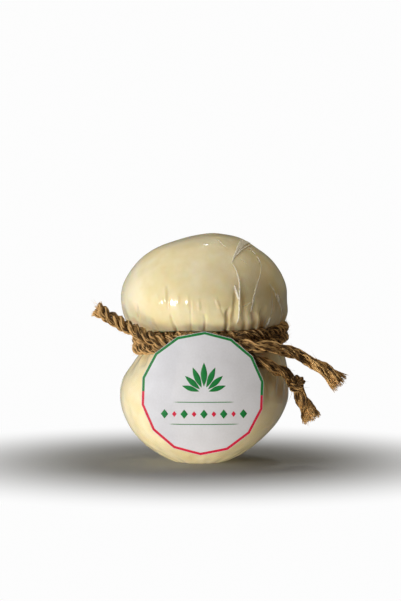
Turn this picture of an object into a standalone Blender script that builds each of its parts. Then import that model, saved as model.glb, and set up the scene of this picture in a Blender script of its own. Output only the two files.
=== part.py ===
"""A scamorza: a pear-shaped stretched-curd cheese in a clear film, tied round its neck with two turns of
jute twine, with a stiff fourteen-sided paper label on its belly.

Metres, +Z up. The origin is the middle of the flat spot that it stands on, and the label faces -Y.
"""

import math
import random

import bmesh
import bpy
from mathutils import Matrix, Vector
from mathutils.geometry import interpolate_bezier

# The cheese, as radii round its middle line and heights above the surface
HEIGHT = 0.1003
BASE_FLAT_RADIUS = 0.0115
BELLY_RADIUS = 0.0372
BELLY_HEIGHT = 0.0299
BELLY_REACH_DOWN = 0.03212
BELLY_REACH_UP = 0.0354
NECK_HEIGHT = 0.0546
HEAD_RADIUS = 0.0366
HEAD_HEIGHT = 0.0726
HEAD_REACH_DOWN = 0.0239
# How square each bulge is: 2 is an ellipse, and more is fuller
BASE_POWER = 1.8
SHOULDER_POWER = 2.0
JOWL_POWER = 2.6
CROWN_POWER = 1.9
# Where the middle line runs, as (height, sideways shift): the cheese leans a little as it hangs to dry
MIDDLE_LINE = (
    (0.0, 0.0),
    (BELLY_HEIGHT, 0.0022),
    (NECK_HEIGHT, 0.0048),
    (HEAD_HEIGHT, 0.0020),
    (0.0930, 0.0028),
    (HEIGHT, 0.0060),
)

# The pleats that the tight twine gathers above and below the neck, and the gathers of film under the base
PLEATS = 24
PLEAT_DEPTH = 0.0027
PLEAT_HALF_WIDTH = 0.13
PLEAT_RUN_UP = 0.019
PLEAT_RUN_DOWN = 0.016
GATHERS = 15
GATHER_DEPTH = 0.0011
GATHER_HALF_WIDTH = 0.22
GATHER_RUN = 0.017
# How unevenly folds are spaced, and their least depth and reach, as shares
FOLD_SHIFT = 0.28
FOLD_LEAST_DEPTH = 0.4
FOLD_LEAST_REACH = 0.6
PLEAT_SEED = 4
GATHER_SEED = 9

# The twine: two turns that touch, tied at the front right, with a hitch at the front left
TWINE_DIAMETER = 0.0048
TWINE_STRANDS = 3
STRAND_RELIEF = 0.13
TURN_RADIUS = 0.0319
TURN_SPACING = 0.0041
TURN_RISE = 0.0026
LAYS_PER_TURN = 12
KNOT_ANGLE = math.radians(-72)
HITCH_ANGLE = math.radians(-113)
KNOT_HALF_LENGTH = 0.0046
KNOT_BULGE = 0.0024
UNDER_ARCH_BULGE = 0.0014
# How much of the way to its foot an arch's curve runs, and how the lay turns in a stub
ARCH_SWEEP = math.radians(80)
STUB_ROLL = 0.4
# How far above and below the neck the cheese follows the slope of the twine
NECK_REACH = 0.027
CLEARANCE = 0.0003

# The label, cut with straight sides
LABEL_SIDES = 14
LABEL_RADIUS = 0.0266
LABEL_THICKNESS = 0.0004
LABEL_CENTRE = Vector((0.0013, 0.0, 0.0330))
LABEL_TURN = math.radians(2)
LABEL_BEND_RADIUS = 0.075
LABEL_BEND_RADIUS_BELOW = 0.11
LABEL_BEND_RADIUS_ABOVE = 0.4
LABEL_GRID = 10

# How finely the solids are faceted
CHEESE_SEGMENTS = 84
BASE_RINGS = 9
SHOULDER_RINGS = 5
JOWL_RINGS = 6
CROWN_RINGS = 10
TWINE_SIDES = 9
RINGS_PER_LAY = 4
KNOT_RINGS = 7
CURVE_STEPS = 24
END_KNOT_SEGMENTS = 14

# The routes of the free ends of twine, from inside the knots that they come out of
LEFT_END_ROUTE = (
    (-0.0076, -0.0312, 0.0548),
    (-0.0120, -0.0319, 0.0546),
    (-0.0168, -0.0309, 0.0552),
    (-0.0224, -0.0283, 0.0570),
    (-0.0299, -0.0232, 0.0601),
    (-0.0371, -0.0193, 0.0637),
    (-0.0444, -0.0165, 0.0680),
)
UPPER_END_ROUTE = (
    (0.0135, -0.0318, 0.0546),
    (0.0177, -0.0325, 0.0536),
    (0.0224, -0.0326, 0.0529),
    (0.0270, -0.0311, 0.0527),
    (0.0345, -0.0272, 0.0515),
    (0.0421, -0.0236, 0.0486),
    (0.0483, -0.0211, 0.0455),
    (0.0546, -0.0189, 0.0412),
    (0.0598, -0.0171, 0.0368),
)
LOWER_END_ROUTE = (
    (0.0135, -0.0318, 0.0515),
    (0.0175, -0.0324, 0.0490),
    (0.0220, -0.0313, 0.0474),
    (0.0265, -0.0304, 0.0458),
    (0.0323, -0.0280, 0.0430),
    (0.0373, -0.0240, 0.0402),
    (0.0410, -0.0203, 0.0361),
    (0.0435, -0.0178, 0.0308),
    (0.0457, -0.0168, 0.0263),
    (0.0484, -0.0164, 0.0211),
)
# How far along its route each free end leaves the knot
KNOT_REACH = 0.0092
STUB_GAP = 0.0009
CORD_STEP = TWINE_DIAMETER
TUFT_STEP = TWINE_DIAMETER / 2
# The stopper knot on the lower end: where it is along the route, and its size
END_KNOT_PLACE = 0.0360
END_KNOT_HALF_LENGTH = 0.0027
END_KNOT_RADIUS = 0.0041
END_KNOT_SHIFT = Vector((0.0014, 0.0, 0.0006))
END_KNOT_TWIST = 0.1
# How wide the cut ends have frayed, as a share of the twine
LEFT_FRAYING = 1.1
UPPER_FRAYING = 1.5
LOWER_FRAYING = 1.7

CHEESE_COLOUR = (0.80, 0.70, 0.47, 1)
TWINE_COLOUR = (0.30, 0.18, 0.08, 1)
LABEL_COLOUR = (0.72, 0.70, 0.73, 1)


def clear_scene():
    for existing in list(bpy.data.objects):
        bpy.data.objects.remove(existing)


def material(name, colour, roughness):
    made = bpy.data.materials.new(name)
    made.use_nodes = True
    shader = made.node_tree.nodes["Principled BSDF"]
    shader.inputs["Base Color"].default_value = colour
    shader.inputs["Roughness"].default_value = roughness
    return made


def add_object(name, data, finish):
    made = bpy.data.objects.new(name, data)
    made.data.materials.append(finish)
    bpy.context.scene.collection.objects.link(made)
    return made


def object_from(mesh_builder, name, finish):
    """Turns a finished bmesh into a smooth-shaded object."""
    bmesh.ops.recalc_face_normals(mesh_builder, faces=mesh_builder.faces)
    mesh = bpy.data.meshes.new(name)
    mesh_builder.to_mesh(mesh)
    mesh_builder.free()
    mesh.shade_smooth()
    return add_object(name, mesh, finish)


def smooth_step(share):
    share = min(1.0, max(0.0, share))
    return share * share * (3 - 2 * share)


def bulge(share, power):
    """How wide a bulge is, as a share of its widest, at a share of its reach from there."""
    return max(0.0, 1 - min(1.0, abs(share)) ** power) ** (1 / power)


def middle_shift(height):
    """How far the middle line stands to the side at a height."""
    for (low, before), (high, after) in zip(MIDDLE_LINE, MIDDLE_LINE[1:]):
        if height <= high:
            return before + (after - before) * smooth_step((height - low) / (high - low))
    return MIDDLE_LINE[-1][1]


def neck_rise(angle):
    """The twine sits higher on the right of the neck than on its left."""
    return TURN_RISE * math.cos(angle) ** 3


def quarter(centre, radius, reach, power, start, end, steps):
    """Points (radius, height) on a bulge, from one share of a quarter turn to another."""
    points = []
    for step in range(steps + 1):
        share = math.sin(math.radians(90) * (start + (end - start) * step / steps))
        points.append((radius * bulge(share, power), centre + reach * share))
    return points


def cheese_outline():
    """The turned outline from the flat spot to the top, with the groove that the twine sits in."""
    belly = BELLY_HEIGHT, BELLY_RADIUS
    head = HEAD_HEIGHT, HEAD_RADIUS
    lip = TURN_SPACING / 2 + TWINE_DIAMETER / 2 + CLEARANCE
    foot = math.asin(-BELLY_HEIGHT / BELLY_REACH_DOWN) / math.radians(90)
    shoulder = math.asin((NECK_HEIGHT - lip - BELLY_HEIGHT) / BELLY_REACH_UP) / math.radians(90)
    jowl = math.asin((NECK_HEIGHT + lip - HEAD_HEIGHT) / HEAD_REACH_DOWN) / math.radians(90)
    under = quarter(*belly, BELLY_REACH_DOWN, BASE_POWER, foot, 0, BASE_RINGS)
    over = quarter(*belly, BELLY_REACH_UP, SHOULDER_POWER, 0, shoulder, SHOULDER_RINGS)
    jowls = quarter(*head, HEAD_REACH_DOWN, JOWL_POWER, jowl, 0, JOWL_RINGS)
    crown = quarter(*head, HEIGHT - HEAD_HEIGHT, CROWN_POWER, 0, 1, CROWN_RINGS)
    under[0] = (BASE_FLAT_RADIUS, 0.0)
    crown[-1] = (0.0, HEIGHT)
    return under + over[1:] + groove() + jowls + crown[1:]


def groove():
    """Points (radius, height) of the groove: a rounded corner under each turn of twine."""
    corner = TWINE_DIAMETER / 2 + CLEARANCE
    points = []
    for side in (-1, 1):
        turns = (0.25, 0.5, 0.75, 1.0) if side < 0 else (1.0, 0.75, 0.5, 0.25)
        for turn in turns:
            angle = math.radians(90) * turn
            drop = side * (TURN_SPACING / 2 + corner * math.cos(angle))
            points.append((TURN_RADIUS - corner * math.sin(angle), NECK_HEIGHT + drop))
    return points


def make_folds(count, depth, half_width, seed):
    """Each fold's angle, depth, half width and reach, unevenly spaced by a seeded draw."""
    draw = random.Random(seed)
    return [
        (
            2 * math.pi / count * (number + draw.uniform(-FOLD_SHIFT, FOLD_SHIFT)),
            depth * draw.uniform(FOLD_LEAST_DEPTH, 1),
            half_width * draw.uniform(1 - FOLD_SHIFT, 1),
            draw.uniform(FOLD_LEAST_REACH, 1),
        )
        for number in range(count)
    ]


def fold_depth(angle, share, folds):
    """How far the folds draw the skin in, at a share of their run from where they start."""
    total = 0.0
    for place, depth, half_width, reach in folds:
        apart = abs((angle - place + math.pi) % (2 * math.pi) - math.pi)
        if apart < half_width:
            crease = math.cos(math.radians(90) * apart / half_width) ** 2
            total += depth * crease * (1 - smooth_step(share / reach))
    return total


def drawn_in(angle, height, pleats, gathers):
    """How far the skin is drawn in at a point, deepest beside the twine and under the base."""
    lip = TURN_SPACING / 2 + TWINE_DIAMETER / 2 + CLEARANCE
    away = abs(height - NECK_HEIGHT) - lip
    if away < -CLEARANCE:
        return 0.0
    run = PLEAT_RUN_UP if height > NECK_HEIGHT else PLEAT_RUN_DOWN
    return fold_depth(angle, away / run, pleats) + fold_depth(angle, height / GATHER_RUN, gathers)


def make_cheese(finish):
    """Turns the outline, then leans it, follows the slope of the twine and draws in the pleats."""
    shape = bmesh.new()
    outline = [shape.verts.new((radius, 0, height)) for radius, height in cheese_outline()]
    edges = [shape.edges.new(pair) for pair in zip(outline, outline[1:])]
    bmesh.ops.spin(
        shape, geom=outline + edges, axis=(0, 0, 1), cent=(0, 0, 0), angle=2 * math.pi,
        steps=CHEESE_SEGMENTS, use_merge=True,
    )
    bmesh.ops.remove_doubles(shape, verts=shape.verts, dist=1e-5)
    rim = [edge for edge in shape.edges if edge.is_boundary]
    bmesh.ops.contextual_create(shape, geom=rim)
    pleats = make_folds(PLEATS, PLEAT_DEPTH, PLEAT_HALF_WIDTH, PLEAT_SEED)
    gathers = make_folds(GATHERS, GATHER_DEPTH, GATHER_HALF_WIDTH, GATHER_SEED)
    for vert in shape.verts:
        height = vert.co.z
        radius = math.hypot(vert.co.x, vert.co.y)
        angle = math.atan2(vert.co.y, vert.co.x)
        if radius > 0:
            radius -= drawn_in(angle, height, pleats, gathers)
        near_neck = 1 - smooth_step(abs(height - NECK_HEIGHT) / NECK_REACH)
        vert.co.x = middle_shift(height) + radius * math.cos(angle)
        vert.co.y = radius * math.sin(angle)
        vert.co.z = height + neck_rise(angle) * near_neck
    return object_from(shape, "cheese", finish)


def section_frame(centre, along, outward, roll):
    """A frame on the twine's middle line: Z runs along it, and X starts from the outward direction."""
    along = along.normalized()
    side = (outward - along * outward.dot(along)).normalized()
    turned = Matrix((side, along.cross(side), along)).transposed().to_4x4()
    return Matrix.Translation(centre) @ turned @ Matrix.Rotation(roll, 4, "Z")


def sweep_twine(frames, closed):
    """A rope of laid strands: one ring of the section is carried from frame to frame."""
    shape = bmesh.new()
    ring = bmesh.ops.create_circle(shape, segments=TWINE_SIDES, radius=TWINE_DIAMETER / 2)["verts"]
    for vert in ring:
        angle = math.atan2(vert.co.y, vert.co.x)
        vert.co *= 1 - STRAND_RELIEF * (1 - math.cos(TWINE_STRANDS * angle)) / 2
    bmesh.ops.transform(shape, matrix=frames[0], verts=ring)
    edges = list(shape.edges)
    if not closed:
        bmesh.ops.contextual_create(shape, geom=edges)
    for before, after in zip(frames, frames[1:]):
        made = bmesh.ops.extrude_edge_only(shape, edges=edges)["geom"]
        verts = [item for item in made if isinstance(item, bmesh.types.BMVert)]
        edges = [item for item in made if isinstance(item, bmesh.types.BMEdge)]
        bmesh.ops.transform(shape, matrix=after @ before.inverted(), verts=verts)
    if closed:
        bmesh.ops.remove_doubles(shape, verts=shape.verts, dist=1e-5)
    else:
        bmesh.ops.contextual_create(shape, geom=edges)
    bmesh.ops.triangulate(shape, faces=shape.faces)
    return shape


def turn_point(angle, offset, outwards=0.0):
    """A point on a turn of twine, at an angle round the neck."""
    radius = TURN_RADIUS + outwards
    return Vector(
        (
            middle_shift(NECK_HEIGHT) + radius * math.cos(angle),
            radius * math.sin(angle),
            NECK_HEIGHT + offset + neck_rise(angle),
        )
    )


def make_turn(offset, finish):
    """One closed turn of twine. Its roll comes back to a strand after the whole turn."""
    rings = LAYS_PER_TURN * RINGS_PER_LAY
    frames = []
    for ring in range(rings + 1):
        angle = 2 * math.pi * (ring % rings) / rings
        along = turn_point(angle + 0.01, offset) - turn_point(angle - 0.01, offset)
        outward = Vector((math.cos(angle), math.sin(angle), 0))
        roll = 2 * math.pi / TWINE_STRANDS * LAYS_PER_TURN * ring / rings
        frames.append(section_frame(turn_point(angle, offset), along, outward, roll))
    return object_from(sweep_twine(frames, closed=True), "turn", finish)


def make_knot_arch(angle, climb, bulge_out, finish):
    """An arch of twine over both turns, which climbs from one side of a knot to the other."""
    points = []
    for step in range(-1, KNOT_RINGS + 1):
        share = 2 * step / (KNOT_RINGS - 1) - 1
        along = angle + share * KNOT_HALF_LENGTH / TURN_RADIUS
        height = climb * math.sin(math.radians(90) * share) * TURN_SPACING / 2
        points.append(turn_point(along, height, bulge_out * math.cos(ARCH_SWEEP * share)))
    frames = []
    for step in range(1, KNOT_RINGS + 1):
        along = points[step + 1] - points[step - 1]
        outward = Vector((math.cos(angle), math.sin(angle), 0))
        frames.append(section_frame(points[step], along, outward, STUB_ROLL * step))
    return object_from(sweep_twine(frames, closed=False), "knot_arch", finish)


def join_all(base, others, name):
    """One Boolean union of everything that the same length of twine makes."""
    group = bpy.data.collections.new("joined")
    bpy.context.scene.collection.children.link(group)
    for other in others:
        bpy.context.scene.collection.objects.unlink(other)
        group.objects.link(other)
    union = base.modifiers.new("union", "BOOLEAN")
    union.operation = "UNION"
    union.operand_type = "COLLECTION"
    union.collection = group
    union.solver = "EXACT"
    bpy.context.view_layer.update()
    result = base.evaluated_get(bpy.context.evaluated_depsgraph_get())
    mesh = bpy.data.meshes.new_from_object(result)
    base.modifiers.clear()
    base.data = mesh
    base.name = name
    for other in others:
        bpy.data.objects.remove(other)
    bpy.data.collections.remove(group)
    return base


def make_stub(route, finish):
    """The start of a free end, as far as it is bound up in its knot."""
    points = stretch(route, 0, KNOT_REACH - STUB_GAP, TWINE_DIAMETER / 3)
    frames = []
    for number, point in enumerate(points):
        along = points[min(number + 1, len(points) - 1)] - points[max(number - 1, 0)]
        outward = Vector((point.x, point.y, 0))
        frames.append(section_frame(point, along, outward, STUB_ROLL * number))
    return object_from(sweep_twine(frames, closed=False), "stub", finish)


def fill_hollows(mesh):
    """Drops every shell but the outer one, which fills the small hollows shut in between the strands."""
    shape = bmesh.new()
    shape.from_mesh(mesh)
    left = set(shape.verts)
    shells = []
    while left:
        waiting = [left.pop()]
        shell = set(waiting)
        while waiting:
            linked = {vert for edge in waiting.pop().link_edges for vert in edge.verts} & left
            left -= linked
            shell |= linked
            waiting += linked
        shells.append(shell)
    outer = max(shells, key=len)
    bmesh.ops.delete(shape, geom=[vert for vert in shape.verts if vert not in outer], context="VERTS")
    shape.to_mesh(mesh)
    shape.free()


def make_twine_tie(finish):
    lower = make_turn(-TURN_SPACING / 2, finish)
    others = [make_turn(TURN_SPACING / 2, finish)]
    for angle in (KNOT_ANGLE, HITCH_ANGLE):
        others.append(make_knot_arch(angle, 1, KNOT_BULGE, finish))
        others.append(make_knot_arch(angle, -1, UNDER_ARCH_BULGE, finish))
    for route in (LEFT_END_ROUTE, UPPER_END_ROUTE, LOWER_END_ROUTE):
        others.append(make_stub(route, finish))
    tie = join_all(lower, others, "twine_tie")
    fill_hollows(tie.data)


def route_curve(route):
    """Fine points on one smooth curve through a route, each with its length along the curve."""
    points = [Vector(point) for point in route]
    ends = [points[0] * 2 - points[1], *points, points[-1] * 2 - points[-2]]
    fine = []
    for before, start, end, after in zip(ends, ends[1:], ends[2:], ends[3:]):
        handles = start + (end - before) / 6, end - (after - start) / 6
        fine += interpolate_bezier(start, *handles, end, CURVE_STEPS)[:-1]
    fine.append(points[-1])
    travelled = [0.0]
    for start, end in zip(fine, fine[1:]):
        travelled.append(travelled[-1] + (end - start).length)
    return fine, travelled


def point_along(route, length):
    """The point on a route's smooth curve at a length from its start."""
    fine, travelled = route_curve(route)
    for number in range(len(fine) - 1):
        if travelled[number + 1] >= length:
            share = (length - travelled[number]) / (travelled[number + 1] - travelled[number])
            return fine[number].lerp(fine[number + 1], share)
    return fine[-1]


def stretch(route, start, end, step):
    """Points about a step apart along a route, between two lengths from its start."""
    count = max(2, round((end - start) / step))
    return [point_along(route, start + (end - start) * number / count) for number in range(count + 1)]


def route_length(route):
    return route_curve(route)[1][-1]


def make_free_end(name, points, fraying, finish):
    """A plain tube of twine along its points, wider towards a frayed end."""
    curve = bpy.data.curves.new(name, "CURVE")
    curve.dimensions = "3D"
    curve.bevel_depth = TWINE_DIAMETER / 2
    curve.bevel_resolution = 3
    curve.use_fill_caps = True
    line = curve.splines.new("POLY")
    line.points.add(len(points) - 1)
    for number, point in enumerate(points):
        line.points[number].co = (*point, 1)
        share = number / (len(points) - 1)
        line.points[number].radius = 1 + (fraying - 1) * smooth_step(share * 2 - 1)
    return add_object(name, curve, finish)


def make_end_knot(finish):
    """The stopper knot on the lower end: a lump with a twist in it, fatter on its outer side."""
    shape = bmesh.new()
    ahead = point_along(LOWER_END_ROUTE, END_KNOT_PLACE + END_KNOT_HALF_LENGTH)
    behind = point_along(LOWER_END_ROUTE, END_KNOT_PLACE - END_KNOT_HALF_LENGTH)
    turn = (ahead - behind).to_track_quat("Z", "Y").to_matrix().to_4x4()
    bmesh.ops.create_uvsphere(shape, u_segments=END_KNOT_SEGMENTS, v_segments=8, radius=1)
    for vert in shape.verts:
        swell = 1 + END_KNOT_TWIST * math.sin(2 * math.atan2(vert.co.y, vert.co.x) + 3 * vert.co.z)
        vert.co.x *= END_KNOT_RADIUS * swell
        vert.co.y *= END_KNOT_RADIUS * swell
        vert.co.z *= END_KNOT_HALF_LENGTH
    place = point_along(LOWER_END_ROUTE, END_KNOT_PLACE)
    sideways = END_KNOT_SHIFT - END_KNOT_SHIFT.project(ahead - behind)
    bmesh.ops.transform(shape, matrix=Matrix.Translation(place + sideways) @ turn, verts=shape.verts)
    return object_from(shape, "twine_end_knot", finish)


def make_free_ends(finish):
    for name, route, fraying in (
        ("twine_left_end", LEFT_END_ROUTE, LEFT_FRAYING),
        ("twine_upper_end", UPPER_END_ROUTE, UPPER_FRAYING),
    ):
        points = stretch(route, KNOT_REACH, route_length(route), CORD_STEP)
        make_free_end(name, points, fraying, finish)
    before = END_KNOT_PLACE - END_KNOT_HALF_LENGTH - CLEARANCE
    after = END_KNOT_PLACE + END_KNOT_HALF_LENGTH + CLEARANCE
    upper = stretch(LOWER_END_ROUTE, KNOT_REACH, before, CORD_STEP)
    tuft = stretch(LOWER_END_ROUTE, after, route_length(LOWER_END_ROUTE), TUFT_STEP)
    make_free_end("twine_lower_end", upper, 1, finish)
    make_end_knot(finish)
    make_free_end("twine_lower_tuft", tuft, LOWER_FRAYING, finish)


def label_depth(across, up):
    """How far a point of the label is bent back, at an offset from its middle."""
    lift = LABEL_BEND_RADIUS_ABOVE if up > 0 else LABEL_BEND_RADIUS_BELOW
    return across**2 / (2 * LABEL_BEND_RADIUS) + up**2 / (2 * lift)


def make_label(finish):
    """A grid cut to fourteen straight sides, bent towards the belly and given its thickness."""
    shape = bmesh.new()
    facing = Matrix.Rotation(math.radians(90), 4, "X")
    bmesh.ops.create_grid(
        shape, x_segments=LABEL_GRID, y_segments=LABEL_GRID, size=LABEL_RADIUS * 1.05, matrix=facing
    )
    flat_radius = LABEL_RADIUS * math.cos(math.pi / LABEL_SIDES)
    for side in range(LABEL_SIDES):
        angle = math.pi / 2 - LABEL_TURN + (side + 0.5) * 2 * math.pi / LABEL_SIDES
        outward = Vector((math.cos(angle), 0, math.sin(angle)))
        bmesh.ops.bisect_plane(
            shape, geom=list(shape.verts) + list(shape.edges) + list(shape.faces), dist=1e-6,
            plane_co=outward * flat_radius, plane_no=outward, clear_outer=True,
        )
    bmesh.ops.dissolve_degenerate(shape, edges=shape.edges, dist=2e-4)
    front = -BELLY_RADIUS - CLEARANCE - LABEL_THICKNESS
    for vert in shape.verts:
        vert.co.y = front + label_depth(vert.co.x, vert.co.z)
    bmesh.ops.translate(shape, vec=LABEL_CENTRE, verts=shape.verts)
    back = bmesh.ops.extrude_face_region(shape, geom=list(shape.faces))["geom"]
    moved = [item for item in back if isinstance(item, bmesh.types.BMVert)]
    bmesh.ops.translate(shape, vec=(0, LABEL_THICKNESS, 0), verts=moved)
    label = object_from(shape, "label", finish)
    label.data.set_sharp_from_angle(angle=math.radians(40))
    return label


def main():
    clear_scene()
    curd = material("film_wrapped_curd", CHEESE_COLOUR, 0.25)
    jute = material("jute", TWINE_COLOUR, 0.9)
    card = material("label_card", LABEL_COLOUR, 0.5)
    make_cheese(curd)
    make_twine_tie(jute)
    make_free_ends(jute)
    make_label(card)


main()
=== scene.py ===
"""Dresses the scamorza: stretched curd in a clinging clear film, jute twine and a paper label.

Metres, +Z up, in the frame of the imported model. The label faces -Y.
"""

import math
import random

import bmesh
import bpy
import numpy as np
from mathutils import Matrix, Vector, noise
from mathutils.bvhtree import BVHTree
from mathutils.geometry import interpolate_bezier


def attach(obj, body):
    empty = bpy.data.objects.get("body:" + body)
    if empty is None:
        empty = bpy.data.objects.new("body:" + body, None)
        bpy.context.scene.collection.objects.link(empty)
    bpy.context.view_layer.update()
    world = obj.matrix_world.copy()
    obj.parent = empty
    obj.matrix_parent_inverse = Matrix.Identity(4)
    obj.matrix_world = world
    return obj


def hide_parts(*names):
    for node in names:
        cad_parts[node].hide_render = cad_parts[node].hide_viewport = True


bl_info = {
    "name": "Scamorza",
    "version": (1, 0, 0),
    "blender": (4, 5, 0),
    "location": "3D View > Sidebar > Scamorza",
    "description": "Makes the curd, film, twine and label of a tied scamorza",
    "category": "Add Mesh",
}

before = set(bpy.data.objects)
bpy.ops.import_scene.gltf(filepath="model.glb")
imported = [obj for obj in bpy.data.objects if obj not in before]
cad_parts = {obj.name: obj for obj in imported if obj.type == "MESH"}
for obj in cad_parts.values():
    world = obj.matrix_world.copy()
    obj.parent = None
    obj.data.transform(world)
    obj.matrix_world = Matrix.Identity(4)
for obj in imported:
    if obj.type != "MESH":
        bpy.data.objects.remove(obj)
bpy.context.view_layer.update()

FULL_TURN = 2 * math.pi
MM = 0.001

# The shape of the cheese, as the part's source has it
HEIGHT = 0.1003
BASE_FLAT_RADIUS = 0.0115
BELLY_RADIUS = 0.0372
BELLY_HEIGHT = 0.0299
BELLY_REACH_DOWN = 0.03212
BELLY_REACH_UP = 0.0354
NECK_HEIGHT = 0.0546
HEAD_RADIUS = 0.0366
HEAD_HEIGHT = 0.0726
HEAD_REACH_DOWN = 0.0239
BASE_POWER = 1.8
SHOULDER_POWER = 2.0
JOWL_POWER = 2.6
CROWN_POWER = 1.9
MIDDLE_LINE = (
    (0.0, 0.0), (BELLY_HEIGHT, 0.0022), (NECK_HEIGHT, 0.0048), (HEAD_HEIGHT, 0.0020), (0.0930, 0.0028),
    (HEIGHT, 0.0060),
)
PLEATS = 24
PLEAT_DEPTH = 0.0027
PLEAT_HALF_WIDTH = 0.13
PLEAT_RUN_UP = 0.019
PLEAT_RUN_DOWN = 0.016
GATHERS = 15
GATHER_DEPTH = 0.0011
GATHER_HALF_WIDTH = 0.22
GATHER_RUN = 0.017
FOLD_SHIFT = 0.28
FOLD_LEAST_DEPTH = 0.4
FOLD_LEAST_REACH = 0.6
PLEAT_SEED = 4
GATHER_SEED = 9
NECK_REACH = 0.027
CLEARANCE = 0.0003

# The twine and its route, as the part's source has them
TWINE_DIAMETER = 0.0048
TURN_RADIUS = 0.0319
TURN_SPACING = 0.0041
TURN_RISE = 0.0026
KNOT_ANGLE = math.radians(-72)
HITCH_ANGLE = math.radians(-113)
KNOT_HALF_LENGTH = 0.0046
KNOT_BULGE = 0.0024
UNDER_ARCH_BULGE = 0.0014
LEFT_END_ROUTE = (
    (-0.0076, -0.0312, 0.0548), (-0.0120, -0.0319, 0.0546), (-0.0168, -0.0309, 0.0552),
    (-0.0224, -0.0283, 0.0570), (-0.0299, -0.0232, 0.0601), (-0.0371, -0.0193, 0.0637),
    (-0.0444, -0.0165, 0.0680),
)
UPPER_END_ROUTE = (
    (0.0135, -0.0318, 0.0546), (0.0177, -0.0325, 0.0536), (0.0224, -0.0326, 0.0529),
    (0.0270, -0.0311, 0.0527), (0.0345, -0.0272, 0.0515), (0.0421, -0.0236, 0.0486),
    (0.0483, -0.0211, 0.0455), (0.0546, -0.0189, 0.0412), (0.0598, -0.0171, 0.0368),
)
LOWER_END_ROUTE = (
    (0.0135, -0.0318, 0.0515), (0.0175, -0.0324, 0.0490), (0.0220, -0.0313, 0.0474),
    (0.0265, -0.0304, 0.0458), (0.0323, -0.0280, 0.0430), (0.0373, -0.0240, 0.0402),
    (0.0410, -0.0203, 0.0361), (0.0435, -0.0178, 0.0308), (0.0457, -0.0168, 0.0263),
    (0.0484, -0.0164, 0.0211),
)
END_KNOT_PLACE = 0.0360

# How the jute is laid. Shares are of a strand's radius, turns in radians and noise scales per metre.
STRANDS = 3
# The cores are painted near black, as the shade in the gaps between the threads of a strand
CORE_SHARE, CORE_SHADE_TONE = 0.8, 0.1
STRAND_SWAY, STRAND_SWAY_SCALE = 0.5, 150
THREAD_WAVER, THREAD_WAVER_SCALE = 1.5, 260
THREAD_RISE, THREAD_RISE_SPREAD, THREAD_RISE_SCALE = 0.72, 0.2, 400
THREAD_SWELL, THREAD_SWELL_SCALE = 0.45, 500
THREAD_GIRTH = (0.13, 0.19)
JOIN_POINTS = 12
ROPE_STEP = 0.00055
TURN_STEPS = 320
ARCH_STEPS = 30
# The stopper knot: turns, first turn, radius of its winding and how much that drops, length and scale
STOPPER_WINDS, STOPPER_START = 1.6, 0.6
STOPPER_RADIUS, STOPPER_DROP, STOPPER_LENGTH, STOPPER_SCALE = 0.0024, 0.0010, 0.0036, 0.70
STOPPER_SHIFT = Vector((0.0006, 0, 0.0003))
# Loose fibres on the twine: their length, and how far they rise and sway as shares of it
HAIR_LENGTHS, HAIR_RISES, HAIR_SWAY = (0.0018, 0.0050), (0.02, 0.50), 0.5
HAIR_SHARES = (0, 0.25, 0.5, 0.75, 1)
# Fibres of a frayed end: where they start and end as shares of its reach, their thickness in hairs
FRAY_STARTS, FRAY_ENDS, FRAY_THICKNESS = (0, 0.45), (0.92, 1.12), (0.8, 2.0)
FRAY_CORE = TWINE_DIAMETER * 0.36
FRAY_POINTS = 7

# The label, as the part's source has it
LABEL_SIDES = 14
LABEL_RADIUS = 0.0266
LABEL_THICKNESS = 0.0004
LABEL_CENTRE = Vector((0.0013, 0.0, 0.0330))
LABEL_TURN = math.radians(2)
LABEL_BEND_RADIUS = 0.075
LABEL_BEND_RADIUS_BELOW = 0.11
LABEL_BEND_RADIUS_ABOVE = 0.4
LABEL_GRID = 110
LABEL_BAND = 0.002

# The ornament printed on the label, from the label's middle
ORNAMENT_MIDDLE = 0.0006
LEAF_ROOT, LEAF_REACH, LEAF_WIDTH, LEAF_LENGTH = 0.0005, 0.0078, 0.0028, 0.0102
LEAF_TURN = math.radians(24)
LOZENGE_HEIGHT, LOZENGE_SPACING, LARGE_LOZENGE, SMALL_LOZENGE = -0.0086, 0.0042, 0.0032, 0.0020
RULE_WIDTH, RULES = 0.00035, ((-0.0035, 0.026), (-0.0130, 0.030))

# How finely the curd and its film are meshed
CHEESE_SEGMENTS = 480
BASE_RINGS = 40
SHOULDER_RINGS = 24
JOWL_RINGS = 34
CROWN_RINGS = 56
CORNER_RINGS = 6

# The camera, and the grid that marks on the front are placed by: columns and rows 0.44 mm apart
VIEW_TILT = math.radians(3)
VIEW_DISTANCE = 1.0
VIEW_AIM = Vector((0.00044, 0, 0.0708))
VIEW_BACK = Vector((0, -math.cos(VIEW_TILT), math.sin(VIEW_TILT)))
VIEW_UP = Vector((0, math.sin(VIEW_TILT), math.cos(VIEW_TILT)))
VIEW_EYE = VIEW_AIM + VIEW_BACK * VIEW_DISTANCE
LENS = 136.1
GRID_STEP = 0.00044
GRID_MIDDLE = (200.5, 300.5)

# The paper sweep: where its floor ends, the radius of its bend, and from where to where it turns white
SWEEP_FLOOR, SWEEP_BEND = 1.2, 0.8
SHADE_RADIUS, WHITE_RADIUS = 0.04, 0.155

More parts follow.
